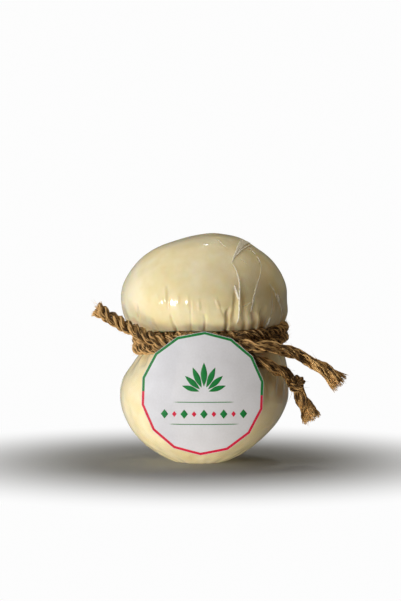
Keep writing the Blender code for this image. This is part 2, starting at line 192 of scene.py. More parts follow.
# Soft grooves of the curd, as (points in grid steps, half width in mm, depth in mm). Ridges have a depth
# below nought.
FOLDS_IN_FRONT = (
    # above the twine, from left to right
    (((135, 300), (140, 322)), 0.9, 0.35),
    (((151, 316), (158, 332)), 0.8, 0.40),
    (((157, 294), (159, 300), (160.5, 306)), 0.8, -0.28),
    (((164, 284), (164.8, 294), (165.8, 306)), 0.9, -0.30),
    (((167.6, 283), (168.3, 306), (170.2, 313)), 0.7, 0.35),
    (((170.2, 312), (172, 321), (176.5, 332)), 0.8, 0.95),
    (((178, 294), (178.4, 306)), 1.2, -0.22),
    (((187.8, 294), (188, 308)), 0.6, -0.22),
    (((190.4, 298), (191, 312), (191.4, 332)), 0.6, 0.30),
    (((198.6, 299), (199.3, 312)), 0.8, -0.28),
    (((204, 312), (205.5, 320), (204.6, 332)), 0.9, 0.35),
    (((215.6, 298), (217.6, 304), (219.6, 309)), 0.7, -0.34),
    (((220, 306), (224.5, 317)), 0.6, 0.30),
    (((230.5, 306), (226.6, 313), (227.3, 321), (225.3, 332)), 1.3, 0.95),
    (((233, 286), (235.5, 296), (234, 312), (231, 326)), 1.5, 0.45),
    (((238, 284), (240.6, 305), (239, 318), (235, 327)), 1.3, -0.50),
    (((244.4, 298), (242.6, 312), (244.8, 322), (243.4, 332)), 1.6, 0.50),
    (((252.4, 301), (247, 306), (242, 308)), 0.8, -0.35),
    (((256.6, 298), (252.6, 312), (254.4, 322), (252, 332)), 1.9, 0.70),
    (((259.5, 311), (258.6, 320), (256.6, 329)), 1.3, -0.35),
    (((265.8, 303), (261.4, 314), (262.8, 323), (260.8, 332)), 1.5, 0.95),
    (((270.6, 315), (267.6, 322), (265, 329)), 1.0, -0.75),
    (((270.5, 284), (273.6, 296), (272.8, 314)), 0.8, 0.50),
    (((274.6, 286), (279, 300), (281, 318)), 0.8, -0.45),
    (((282.6, 298), (284.6, 314), (279.6, 330)), 1.2, 0.55),
    # the belly's right, beside the label
    (((267, 350), (269, 378), (268, 402)), 1.6, 0.80),
    (((273.5, 356), (274.5, 380), (273, 398)), 1.2, -0.35),
    (((278, 354), (280, 380), (277.6, 398)), 1.7, 0.75),
    (((284, 360), (286.5, 384), (284.6, 402)), 1.3, 0.50),
    (((265, 404), (275, 403), (287, 404.5)), 0.9, -0.20),
    (((262, 430), (270, 426), (277, 419)), 1.0, -0.35),
    # the belly's left
    (((151, 349), (146, 356), (142.5, 368)), 1.6, 0.55),
    (((146, 352), (140, 362), (138.5, 374)), 1.2, -0.30),
    (((134, 358), (130, 376)), 1.8, 0.25),
    (((126, 398), (131, 420), (143, 440)), 1.6, 0.22),
    (((137, 404), (143, 424), (155, 441)), 1.4, -0.18),
)

# Sharp creases of the film alone, as (points in grid steps, width in mm, share of white)
CREASES = (
    # from the crown down the right of the head
    (((231.6, 263.3), (235.6, 269), (238.8, 278.6), (239.6, 287.2), (239.4, 301.6), (238.8, 316.9),
      (236.4, 324.5)), 0.75, 1.0),
    (((247.8, 247.5), (252, 250.6), (256, 254.7)), 0.80, 1.0),
    (((256.6, 256.3), (258.4, 258.5), (260.3, 263.3)), 0.90, 1.0),
    (((260.3, 263.3), (261.2, 267.1), (259.8, 275.7), (256.5, 286.2), (254.5, 295.8), (254.1, 300.6),
      (251.2, 311.1)), 0.42, 0.9),
    (((234.5, 285), (236.6, 291.6), (238.6, 300)), 0.95, 1.0),
    (((241.1, 307.3), (245.9, 305.4), (252.2, 301.6)), 0.30, 0.5),
    (((217.2, 239.4), (221, 243), (225.8, 247)), 0.50, 0.6),
    (((268.9, 283.4), (273.7, 290.1), (276.6, 297.7), (280.4, 306.3), (281.8, 315.9), (278.5, 324.5)),
     0.60, 1.0),
    (((276.6, 293), (278.6, 298), (279.2, 303)), 0.90, 0.9),
    (((271.8, 295.8), (272.2, 306.3), (270.3, 316.9)), 0.42, 0.8),
    (((241, 259), (244.5, 262), (247, 264)), 0.40, 0.3),
    (((254.2, 294), (253.2, 301), (250.4, 312)), 0.85, 0.8),
    (((266.6, 316), (264.6, 322), (262.6, 329)), 0.35, 0.7),
    (((270.2, 317.5), (267.8, 323), (264.4, 328.5)), 1.05, 1.0),
    # the fan at the crown
    (((240.6, 239.4), (238.6, 245), (235.8, 252), (232.6, 260)), 0.7, 1.0),
    (((243.8, 240.6), (239.4, 247), (236.2, 254), (232.4, 262)), 0.45, 1.0),
    (((247.2, 242), (242.2, 247), (238.2, 252.4), (234.4, 258)), 0.55, 1.0),
    (((252, 244.4), (246, 247.2), (241, 250.6), (237, 255.4)), 0.7, 1.0),
    (((241.4, 242), (246, 245.4), (250.6, 245)), 0.35, 0.9),
    (((239, 246.4), (243, 246.6), (247, 248.6)), 0.3, 0.9),
    (((236.6, 251), (239.6, 252.4), (243, 251.6)), 0.3, 0.8),
)
# The white patch where the film is bunched, between its left and its right edge in grid steps
PATCH_LEFT = ((241.1, 239.0), (237.3, 247), (234.5, 253.7), (231.4, 263.3))
PATCH_RIGHT = ((250.6, 243.2), (244.6, 245.4), (240.6, 248.6), (236.6, 253.6), (231.9, 263.3))
# Where the curd is painted browner through the film, as (points in grid steps, half width in mm, share of
# stain colour).
# The first line follows the crease below the crown; the others are painted shade on the shaded right of the
# head and belly, in its fold valleys and just above the twine.
SHADE_AND_STAIN_PATCHES = (
    (((212, 268), (226, 272), (234, 282), (238, 300)), 3.5, 0.12),
    (((242, 300), (250, 312), (260, 322)), 4.0, 0.16),
    (((256, 270), (268, 292), (280, 312)), 5.5, 0.14),
    (((225, 316), (242, 326), (262, 326)), 3.0, 0.16),
    (((264, 350), (272, 375), (284, 395)), 6.0, 0.40),
    (((262, 410), (274, 415), (268, 435)), 6.0, 0.16),
    (((289, 360), (289, 400)), 4.5, 0.30),
)
# The creases down the sides and the back, which the photograph doesn't show: number, seed, where they start
# and how far round they go, width in mm and share of white
REAR_CREASES, REAR_SEED = 14, 21
REAR_START, REAR_SWEEP = math.radians(16), math.radians(148)
REAR_WIDTH, REAR_WHITE = 0.42, 0.6
PATCH_WHITE = 0.8
CREASE_LIFT = 0.0001
CREASE_FLATNESS = 0.45
# The direction of the front half's middle. The evenly spread pleats are shallow within 0.42 of the spread
# from there, and reach their full depth one spread further round.
FRONT = math.radians(-90)
FRONT_SPREAD, FRONT_SHARE = math.radians(95), 0.42
CRINKLE_HEIGHT, CRINKLE_SCALE, CRINKLE_SHARE = 0.016, 260, 0.7
# Slow swells of the hand-shaped skin: noise scales per metre, and how far from the twine and the foot they
# reach full height
SWELL_SCALE, SMALL_SWELL_SCALE = 42, 110
SWELL_OFF_TWINE, SWELL_OFF_FOOT = 0.004, 0.006
# Folds that cross this row run on under the twine. The others fade out, as they all fade in.
TWINE_ROW = 328
FADE_IN, FADE_OUT = 3, 4
# The curd's twine stain and painted fold shade: how far the stain reaches from the twine, its share there
# and the share of painted shade in fold bottoms, the depths of fold at which each is full, and the most of
# both
STAIN_REACH, STAIN_SHARE, FOLD_SHADE_SHARE = 0.0065, 0.40, 0.10
STAIN_FOLD, FOLD_SHADE_DEPTH, STAIN_MOST = 0.0012, 0.0018, 0.75


def linear(hex_colour):
    """Turns an sRGB hex colour to linear red, green and blue."""
    shares = [int(hex_colour[place:place + 2], 16) / 255 for place in (1, 3, 5)]
    return tuple(c / 12.92 if c <= 0.04045 else ((c + 0.055) / 1.055) ** 2.4 for c in shares)


def colour_setting(name, about, value):
    return bpy.props.FloatVectorProperty(
        name=name, description=about, subtype="COLOR", size=3, min=0, max=1, default=linear(value)
    )


def length_setting(name, about, value):
    return bpy.props.FloatProperty(
        name=name, description=about, subtype="DISTANCE", unit="LENGTH", min=0, default=value
    )


def share_setting(name, about, value):
    return bpy.props.FloatProperty(
        name=name, description=about, subtype="FACTOR", min=0, max=1, default=value
    )


def power_setting(name, about, value):
    return bpy.props.FloatProperty(name=name, description=about, unit="POWER", min=0, default=value)


def count_setting(name, about, value):
    return bpy.props.IntProperty(name=name, description=about, min=0, default=value)


class SCAMORZA_PG_cheese(bpy.types.PropertyGroup):
    curd: colour_setting("Curd", "Colour of the curd where it is pale", "#F4EDD0")
    curd_deep: colour_setting("Deep curd", "Colour of the curd's darker patches", "#EADEB0")
    # This colour also paints shade: in the bottoms of deep folds and on the shaded right of the head and
    # belly
    stain_and_shade: colour_setting("Stain", "Tint that the wet twine leaves on the curd", "#C99A52")
    film_white: colour_setting("Film white", "Colour of the film where it bunches up", "#FFFDF5")
    film_gap: length_setting("Film gap", "How far the film stands off the curd", 0.00022)
    unevenness: length_setting("Unevenness", "How far the hand-shaped skin rises and falls", 0.0005)
    pleat_share: share_setting("Pleat share", "How deep the evenly spread pleats are on the front", 0.2)


class SCAMORZA_PG_twine(bpy.types.PropertyGroup):
    fibre: colour_setting("Fibre", "Colour of the jute's pale fibres", "#E2BA80")
    fibre_dark: colour_setting("Dark fibre", "Colour of the jute's dark fibres", "#7C5A2E")
    spread: length_setting("Spread", "Diameter round the three strands", 0.0054)
    lay: length_setting("Lay", "Length in which a strand goes round once", 0.0096)
    strand: length_setting("Strand", "Diameter of one of the three strands", 0.0025)
    threads: count_setting("Threads", "Number of threads of fibre round a strand", 7)
    hair: length_setting("Hair", "Thickness of a loose fibre", 0.00012)
    hairs: count_setting("Hairs", "Number of loose fibres on the tie", 1300)


class SCAMORZA_PG_label(bpy.types.PropertyGroup):
    paper: colour_setting("Paper", "Colour of the coated paper", "#E2E7F6")
    green: colour_setting("Green", "Colour of the upper edge line and of the leaves", "#007A38")
    red: colour_setting("Red", "Colour of the lower edge line and of the lozenges", "#D2123F")
    edge: length_setting("Edge", "Width of the white outside the edge line", 0.00015)
    line: length_setting("Line", "Width of the edge line", 0.00105)


class SCAMORZA_PG_stage(bpy.types.PropertyGroup):
    backdrop: colour_setting("Backdrop", "Colour of the paper sweep", "#888C94")
    key: power_setting("Key", "Strength of the key light", 6.9)
    edge: power_setting("Edge", "Strength of the light behind on the left", 3.0)
    shoulder: power_setting("Shoulder", "Strength of the light above on the right", 1.8)
    bounce: power_setting("Bounce", "Strength of the low light in front", 3.7)
    glint: power_setting("Glint", "Strength of the small light that makes the head's glints", 4.83)
    crown: power_setting("Crown", "Strength of the small light that makes the crown's glint", 0.14)
    top: share_setting("Top", "Brightness of the soft ceiling", 0.58)
    fill: share_setting("Fill", "Brightness of the dim, warm room round the stage", 0.06)


def add(tree, kind, values=(), links=()):
    """Adds a node, sets its fields and sockets, and links its inputs to sockets or nodes' first outputs."""
    made = tree.nodes.new("ShaderNode" + kind)
    for key, value in dict(values).items():
        if isinstance(key, str) and hasattr(made, key):
            setattr(made, key, value)
        else:
            made.inputs[key].default_value = value
    for key, source in dict(links).items():
        tree.links.new(getattr(source, "outputs", (source,))[0], made.inputs[key])
    return made


def new_material(name):
    """A material with nothing but its output, and its node tree."""
    made = bpy.data.materials.new(name)
    made.use_nodes = True
    made.node_tree.nodes.clear()
    return made, made.node_tree


def ramp(tree, factor, stops):
    """A colour ramp through (place, colour) stops, for a factor."""
    made = add(tree, "ValToRGB", links={"Fac": factor})
    elements = made.color_ramp.elements
    while len(elements) < len(stops):
        elements.new(0.5)
    for element, (place, colour) in zip(elements, stops):
        element.position = place
        element.color = (*colour, 1)
    return made


def finish(tree, shader):
    add(tree, "OutputMaterial", links={"Surface": shader})


def smooth_step(share):
    """From 0 to 1 with soft ends, for a number or an array."""
    share = np.clip(share, 0, 1)
    return share * share * (3 - 2 * share)


def bulge(share, power):
    """How wide a bulge is, as a share of its widest, at a share of its reach from there."""
    return max(0.0, 1 - min(1.0, abs(share)) ** power) ** (1 / power)


def middle_shift(heights):
    """How far the middle line stands to the side at a height, or at each of an array of heights."""
    shifts = np.full_like(heights, MIDDLE_LINE[-1][1])
    for (low, before), (high, after) in reversed(list(zip(MIDDLE_LINE, MIDDLE_LINE[1:]))):
        here = before + (after - before) * smooth_step((heights - low) / (high - low))
        shifts = np.where(heights <= high, here, shifts)
    return shifts


def quarter(centre, radius, reach, power, start, end, steps):
    """Points (radius, height) on a bulge, from one share of a quarter turn to another."""
    points = []
    for step in range(steps + 1):
        share = math.sin(math.radians(90) * (start + (end - start) * step / steps))
        points.append((radius * bulge(share, power), centre + reach * share))
    return points


def cheese_outline():
    """The fine turned outline from the flat spot to the top, with the groove of the twine."""
    belly = BELLY_HEIGHT, BELLY_RADIUS
    head = HEAD_HEIGHT, HEAD_RADIUS
    lip = TURN_SPACING / 2 + TWINE_DIAMETER / 2 + CLEARANCE
    foot = math.asin(-BELLY_HEIGHT / BELLY_REACH_DOWN) / math.radians(90)
    shoulder = math.asin((NECK_HEIGHT - lip - BELLY_HEIGHT) / BELLY_REACH_UP) / math.radians(90)
    jowl = math.asin((NECK_HEIGHT + lip - HEAD_HEIGHT) / HEAD_REACH_DOWN) / math.radians(90)
    under = quarter(*belly, BELLY_REACH_DOWN, BASE_POWER, foot, 0, BASE_RINGS)
    over = quarter(*belly, BELLY_REACH_UP, SHOULDER_POWER, 0, shoulder, SHOULDER_RINGS)
    jowls = quarter(*head, HEAD_REACH_DOWN, JOWL_POWER, jowl, 0, JOWL_RINGS)
    crown = quarter(*head, HEIGHT - HEAD_HEIGHT, CROWN_POWER, 0, 1, CROWN_RINGS)
    under[0] = (BASE_FLAT_RADIUS, 0.0)
    crown[-1] = (0.0, HEIGHT)
    return under + over[1:] + groove() + jowls + crown[1:]


def groove():
    """Points (radius, height) of the groove: a rounded corner under each turn of twine."""
    corner = TWINE_DIAMETER / 2 + CLEARANCE
    turns = [number / CORNER_RINGS for number in range(1, CORNER_RINGS + 1)]
    points = []
    for side, order in ((-1, turns), (1, turns[::-1])):
        for turn in order:
            angle = math.radians(90) * turn
            drop = side * (TURN_SPACING / 2 + corner * math.cos(angle))
            points.append((TURN_RADIUS - corner * math.sin(angle), NECK_HEIGHT + drop))
    return points


def make_folds(count, depth, half_width, seed):
    """Each fold's angle, depth, half width and reach, drawn as the part's source draws them."""
    draw = random.Random(seed)
    return [
        (
            FULL_TURN / count * (number + draw.uniform(-FOLD_SHIFT, FOLD_SHIFT)),
            depth * draw.uniform(FOLD_LEAST_DEPTH, 1),
            half_width * draw.uniform(1 - FOLD_SHIFT, 1),
            draw.uniform(FOLD_LEAST_REACH, 1),
        )
        for number in range(count)
    ]


def turned_apart(angles, place):
    """How far each angle is from a place, the short way round."""
    return np.abs((angles - place + math.pi) % FULL_TURN - math.pi)


def fold_depths(angles, shares, folds):
    """How far the folds draw the skin in, at shares of their run from where they start."""
    total = np.zeros_like(angles)
    for place, depth, half_width, reach in folds:
        apart = np.clip(turned_apart(angles, place) / half_width, 0, 1)
        crease = np.cos(math.radians(90) * apart) ** 2
        total += depth * crease * (1 - smooth_step(shares / reach))
    return total


def seen_from_front(points):
    """Columns and rows of the front grid that points are seen at, as an array."""
    apart = points - np.array(VIEW_AIM)
    nearness = VIEW_DISTANCE / (VIEW_DISTANCE - apart @ np.array(VIEW_BACK))
    columns = GRID_MIDDLE[0] + apart[:, 0] * nearness / GRID_STEP
    rows = GRID_MIDDLE[1] - (apart @ np.array(VIEW_UP)) * nearness / GRID_STEP
    return columns, rows


def near_line(columns, rows, line):
    """How far points of the grid are from a line in mm, and at what share of its length."""
    steps = [math.dist(start, end) for start, end in zip(line, line[1:])]
    nearest = np.full_like(columns, 1e3)
    shares = np.zeros_like(columns)
    gone = 0.0
    for (left, top), (right, bottom), length in zip(line, line[1:], steps):
        along = ((columns - left) * (right - left) + (rows - top) * (bottom - top)) / length**2
        along = np.clip(along, 0, 1)
        apart = np.hypot(
            columns - left - along * (right - left), rows - top - along * (bottom - top)
        )
        closer = apart < nearest
        nearest = np.where(closer, apart, nearest)
        shares = np.where(closer, (gone + along * length) / sum(steps), shares)
        gone += length
    return nearest * GRID_STEP / MM, shares


def cheese_skin(settings):
    """Turns the fine outline and gives it its lean, pleats and grooves.

    Returns the bmesh, and for each vertex how deep it lies in a fold and how near it is to the twine.
    """
    shape = bmesh.new()
    outline = [shape.verts.new((radius, 0, height)) for radius, height in cheese_outline()]
    edges = [shape.edges.new(pair) for pair in zip(outline, outline[1:])]
    bmesh.ops.spin(
        shape, geom=outline + edges, axis=(0, 0, 1), cent=(0, 0, 0), angle=FULL_TURN,
        steps=CHEESE_SEGMENTS, use_merge=True,
    )
    bmesh.ops.remove_doubles(shape, verts=shape.verts, dist=1e-6)
    rim = [edge for edge in shape.edges if edge.is_boundary]
    bmesh.ops.holes_fill(shape, edges=rim, sides=0)
    places = np.array([vert.co for vert in shape.verts])
    heights = places[:, 2].copy()
    radii = np.hypot(places[:, 0], places[:, 1])
    angles = np.arctan2(places[:, 1], places[:, 0])
    lip = TURN_SPACING / 2 + TWINE_DIAMETER / 2 + CLEARANCE
    away = np.abs(heights - NECK_HEIGHT) - lip
    run = np.where(heights > NECK_HEIGHT, PLEAT_RUN_UP, PLEAT_RUN_DOWN)
    pleats = make_folds(PLEATS, PLEAT_DEPTH, PLEAT_HALF_WIDTH, PLEAT_SEED)
    gathers = make_folds(GATHERS, GATHER_DEPTH, GATHER_HALF_WIDTH, GATHER_SEED)
    frontness = 1 - smooth_step(turned_apart(angles, FRONT) / FRONT_SPREAD - FRONT_SHARE)
    pleated = fold_depths(angles, away / run, pleats) * (1 - (1 - settings.pleat_share) * frontness)
    folded = np.where(away < -CLEARANCE, 0, pleated + fold_depths(angles, heights / GATHER_RUN, gathers))
    folded = np.where(radii > 0, folded, 0)
    swell = np.array(
        [noise.noise(place * SWELL_SCALE) + 0.5 * noise.noise(place * SMALL_SWELL_SCALE)
         for place in map(Vector, places)]
    )
    free = smooth_step(away / SWELL_OFF_TWINE) * smooth_step(heights / SWELL_OFF_FOOT)
    # The film is gathered under the base, so that the lowest part is crinkled
    crinkled = np.array([noise.noise(place * CRINKLE_SCALE) for place in map(Vector, places)])
    swell += CRINKLE_SHARE * crinkled * (1 - smooth_step(heights / CRINKLE_HEIGHT))
    radii_out = radii - folded
    near_neck = 1 - smooth_step(np.abs(heights - NECK_HEIGHT) / NECK_REACH)
    places[:, 0] = middle_shift(heights) + radii_out * np.cos(angles)
    places[:, 1] = radii_out * np.sin(angles)
    places[:, 2] = heights + TURN_RISE * np.cos(angles) ** 3 * near_neck
    columns, rows = seen_from_front(places)
    drawn = np.zeros_like(radii)
    for line, half_width, depth in FOLDS_IN_FRONT:
        apart, share = near_line(columns, rows, line)
        profile = np.cos(math.radians(90) * np.clip(apart / half_width, 0, 1)) ** 2
        runs_on = line[0][1] < TWINE_ROW < line[-1][1]
        end = 1 if runs_on else smooth_step((1 - share) * FADE_OUT)
        drawn += depth * MM * profile * smooth_step(share * FADE_IN) * end
    drawn = np.where((places[:, 1] < 0) & (away > -CLEARANCE), drawn, 0)
    for vert, place in zip(shape.verts, places):
        vert.co = place
    bmesh.ops.recalc_face_normals(shape, faces=shape.faces)
    shape.normal_update()
    moved = np.where(heights < 1e-6, 0, swell * settings.unevenness * free - drawn)
    for vert, distance in zip(shape.verts, moved):
        vert.co += vert.normal * distance
    return shape, folded + np.maximum(drawn, 0), away


def lifted_copy(shape, distance):
    """A copy of a skin that stands off it by a distance, and on the same flat foot."""
    copy = shape.copy()
    copy.normal_update()
    for vert in copy.verts:
        if vert.co.z > distance:
            vert.co += vert.normal * distance
    return copy


def own_attribute(shape, name, values):
    """Gives every vertex of a bmesh a number that its material reads."""
    layer = shape.verts.layers.float.new(name)
    for vert, value in zip(shape.verts, values):
        vert[layer] = float(value)


def add_piece(name, shape, materials, nodes=()):
    """Turns a finished bmesh into a smooth-shaded piece that rides on the part."""
    bmesh.ops.recalc_face_normals(shape, faces=shape.faces)
    mesh = bpy.data.meshes.new(name)
    shape.to_mesh(mesh)
    shape.free()
    mesh.shade_smooth()
    piece = bpy.data.objects.new(name, mesh)
    for material in materials:
        mesh.materials.append(material)
    bpy.context.scene.collection.objects.link(piece)
    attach(piece, "root")
    if nodes:
        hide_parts(*nodes)
    return piece


def curd_material(settings):
    """Stretched curd, pressed smooth under a clinging film: a waxy, milky body with slow cream mottling.

    The film that lies flat on it shows only as its hard gloss, so that gloss is the curd's own coat.
    """
    made, tree = new_material("stretched_curd_under_film")
    place = add(tree, "TexCoord").outputs["Object"]
    # Patches about 20 mm and 5 mm across
    patches = add(tree, "TexNoise", {"Scale": 50.0, "Detail": 3.0, "Roughness": 0.55}, {"Vector": place})
    flecks = add(tree, "TexNoise", {"Scale": 200.0, "Detail": 2.0, "Roughness": 0.6}, {"Vector": place})
    both = add(tree, "Math", {"operation": "MULTIPLY_ADD", 1: 0.3}, {0: flecks, 2: patches})
    base = ramp(tree, both, ((0.45, settings.curd_deep), (0.80, settings.curd)))
    # The attribute holds the twine's stain, plus painted shade in folds and on the shaded right; both tint
    # the curd browner
    stain_and_shade = add(tree, "Attribute", {"attribute_name": "stain_and_shade"}).outputs["Fac"]
    stained_and_shaded = add(tree, "Mix", {"data_type": "RGBA", "blend_type": "MIX", 7: (*settings.stain_and_shade, 1)},
                  {0: stain_and_shade, 6: base})
    # Wrinkles of the film about 2.5 mm apart, drawn out down the skin, and fine ones about 0.7 mm apart
    drawn = add(tree, "Mapping", {"Scale": (400.0, 400.0, 110.0)}, {"Vector": place})
    wrinkles = add(tree, "TexNoise", {"Scale": 1.0, "Detail": 3.0, "Roughness": 0.5}, {"Vector": drawn})
    dimples = add(tree, "TexNoise", {"Scale": 900.0, "Detail": 2.0}, {"Vector": place})
    skin = add(tree, "Bump", {"Strength": 0.25, "Distance": 0.0004}, {"Height": wrinkles})
    film = add(tree, "Bump", {"Strength": 0.06, "Distance": 0.0002}, {"Height": dimples, "Normal": skin})
    finish(tree, add(
        tree, "BsdfPrincipled",
        {"Roughness": 0.42, "IOR": 1.45, "Subsurface Weight": 0.35,
         "Subsurface Radius": (1.0, 0.62, 0.28), "Subsurface Scale": 0.0035,
         "Coat Weight": 1.0, "Coat Roughness": 0.13, "Coat IOR": 1.5},
        {"Base Color": stained_and_shaded.outputs[2], "Normal": film, "Coat Normal": film},
    ))
    return made


def film_material(name, settings, thin):
    """Clear stretch film: unseen where it lies flat, milky white with a soft shine where it bunches."""
    made, tree = new_material(name)
    place = add(tree, "TexCoord").outputs["Object"]
    # Crinkles about 1 mm apart break up the white
    crinkles = add(tree, "TexNoise", {"Scale": 1000.0, "Detail": 3.0, "Roughness": 0.6}, {"Vector": place})
    broken = add(tree, "MapRange", {"From Min": 0.3, "From Max": 0.7, "To Min": thin, "To Max": 1.0},
                 {"Value": crinkles})
    milk = add(tree, "Attribute", {"attribute_name": "milk"}).outputs["Fac"]
    seen = add(tree, "Math", {"operation": "MULTIPLY", "use_clamp": True}, {0: milk, 1: broken})
    bump = add(tree, "Bump", {"Strength": 0.4, "Distance": 0.0003}, {"Height": crinkles})
    white = add(
        tree, "BsdfPrincipled",
        {"Base Color": (*settings.film_white, 1), "Roughness": 0.4, "IOR": 1.45, "Coat Weight": 0.3,
         "Coat Roughness": 0.2, "Coat IOR": 1.5},
        {"Normal": bump},
    )
    finish(tree, add(tree, "MixShader", links={0: seen, 1: add(tree, "BsdfTransparent"), 2: white}))
    return made


def front_point(tree, column, row, lift):
    """The point of a surface that is seen at a column and row of the front grid, and the way out there.

    Past the outline it is the nearest point of the surface.
    """
    target = VIEW_AIM + Vector(((column - GRID_MIDDLE[0]) * GRID_STEP, 0, 0))
    target += VIEW_UP * (GRID_MIDDLE[1] - row) * GRID_STEP
    point, normal, _, _ = tree.ray_cast(VIEW_EYE, (target - VIEW_EYE).normalized())
    if point is None:
        point, normal, _, _ = tree.find_nearest(target)
    return point + normal * lift, normal


def side_point(tree, angle, height, lift):
    """The point of a surface at an angle round the middle and a height, and the way out there."""
    out = Vector((math.cos(angle), math.sin(angle), 0))
    middle = Vector((middle_shift(height), 0, height))
    point, normal, _, _ = tree.ray_cast(middle + out * 0.1, -out)
    return (None, None) if point is None else (point + normal * lift, normal)


def curve_spans(line):
    """Start, two handles and end of each span of a smooth curve through the points of a line."""
    points = [Vector(point) for point in line]
    ends = [points[0] * 2 - points[1], *points, points[-1] * 2 - points[-2]]
    for before, start, end, after in zip(ends, ends[1:], ends[2:], ends[3:]):
        yield start, start + (end - before) / 6, end - (after - start) / 6, end


def spaced(line, step):
    """Points of a line about a step apart, with its bends rounded."""
    points = []
    for span in curve_spans(line):
        count = max(2, round((span[3] - span[0]).length / step))
        points += interpolate_bezier(*span, count + 1)[:-1]
    return points + [Vector(line[-1])]


def gone_along(line):
    """How far along a line each of its points is."""
    gone = [0.0]
    for start, end in zip(line, line[1:]):
        gone.append(gone[-1] + (end - start).length)
    return gone


def ways_along(line, outwards, closed):
    """At each point of a line the way to its side, the way over it and the way along it."""
    last = len(line) - 1
    ways = []
    for number, out in enumerate(outwards):
        before = line[-2 if closed and number == 0 else max(number - 1, 0)]
        after = line[1 if closed and number == last else min(number + 1, last)]
        along = (after - before).normalized()
        side = (out - along * out.dot(along)).normalized()
        ways.append((side, along.cross(side), along))
    return ways


def roll_tube(shape, centres, outwards, radii, sides, closed=False, tone=0.0, height=1.0):
    """Rolls a grid into a tube along its centres. Its UV map is in metres, round it and along it.

    tone is how pale the tube is, from 0 to 1, which its material reads. height is how tall it is, as a
    share of how wide it is.
    """
    uv = shape.loops.layers.uv.verify()
    layer = shape.verts.layers.float.get("tone") or shape.verts.layers.float.new("tone")
    last = len(centres) - 1
    made = bmesh.ops.create_grid(
        shape, x_segments=sides, y_segments=last, size=0.5, calc_uvs=True
    )["verts"]
    ways, gone = ways_along(centres, outwards, closed), gone_along(centres)
    girth = FULL_TURN * sum(radii) / len(radii)
    for face in {face for vert in made for face in vert.link_faces}:
        for loop in face.loops:
            round_it, along_it = loop[uv].uv
            loop[uv].uv = (round_it * girth, gone[round(along_it * last)])
    for vert in made:
        turn = FULL_TURN * (vert.co.x + 0.5)
        number = round((vert.co.y + 0.5) * last)
        side, over, _ = ways[number]
        round_it = side * math.cos(turn) * height + over * math.sin(turn)
        vert.co = centres[number] + round_it * radii[number]
        vert[layer] = tone
    bmesh.ops.remove_doubles(shape, verts=made, dist=1e-7)
    if not closed:
        ends = {edge for vert in made if vert.is_valid for edge in vert.link_edges if edge.is_boundary}
        bmesh.ops.holes_fill(shape, edges=list(ends), sides=0)


def draw_crease(shape, line, width, draw):
    """A flat bead of bunched film along a line of points and ways out, uneven in width."""
    line = [pair for pair in line if pair[0] is not None]
    if len(line) < 4:
        return
    start = draw.uniform(0, 50)
    radii = []
    for number in range(len(line)):
        ragged = 1 + 0.55 * noise.noise(Vector((start + number * 0.45, 0, 0)))
        share = number / (len(line) - 1)
        taper = 0.25 + 0.75 * math.sin(math.pi * share) ** 0.5
        radii.append(width * MM / 2 * ragged * taper)
    roll_tube(shape, *zip(*line), radii, 8, height=CREASE_FLATNESS)


def rear_crease_lines(draw):
    """Lines down the sides and the back, as (angle, height) points."""
    lines = []
    for number in range(REAR_CREASES):
        angle = REAR_START + REAR_SWEEP * (number + draw.uniform(0.1, 0.9)) / REAR_CREASES
        on_head = draw.random() < 0.6
        top = draw.uniform(0.080, 0.092) if on_head else draw.uniform(0.040, 0.046)
        bottom = draw.uniform(0.062, 0.068) if on_head else draw.uniform(0.010, 0.024)
        bend = draw.uniform(-0.25, 0.25)
        lines.append([
            (angle + bend * math.sin(math.pi * step / 8) + 0.1 * step / 8 * bend,
             top + (bottom - top) * step / 8)
            for step in range(9)
        ])
    return lines


def extruded(shape, faces):
    """Extrudes faces in place, and returns the new vertices."""
    made = bmesh.ops.extrude_face_region(shape, geom=list(faces))["geom"]
    return [item for item in made if isinstance(item, bmesh.types.BMVert)]


def film_patch(shape, tree):
    """The white patch of bunched film, as a thin crinkled sheet between its two edges."""
    left, right = (spaced([(*point, 0) for point in line], 0.4) for line in (PATCH_LEFT, PATCH_RIGHT))
    grid = bmesh.ops.create_grid(shape, x_segments=16, y_segments=40, size=0.5)["verts"]
    for vert in grid:
        down = vert.co.y + 0.5
        one, other = (edge[round(down * (len(edge) - 1))] for edge in (left, right))
        seen = one.lerp(other, vert.co.x + 0.5)
        crinkle = 0.00014 * noise.noise(Vector((seen.x * 1.1, seen.y * 0.6, 3)))
        middle = 1 - (2 * abs(vert.co.x)) ** 4
        vert.co, _ = front_point(tree, seen.x, seen.y, CREASE_LIFT + (0.00015 + crinkle) * middle)
    moved = extruded(shape, {face for vert in grid for face in vert.link_faces})
    bmesh.ops.translate(shape, vec=(0, 0.00008, 0), verts=moved)


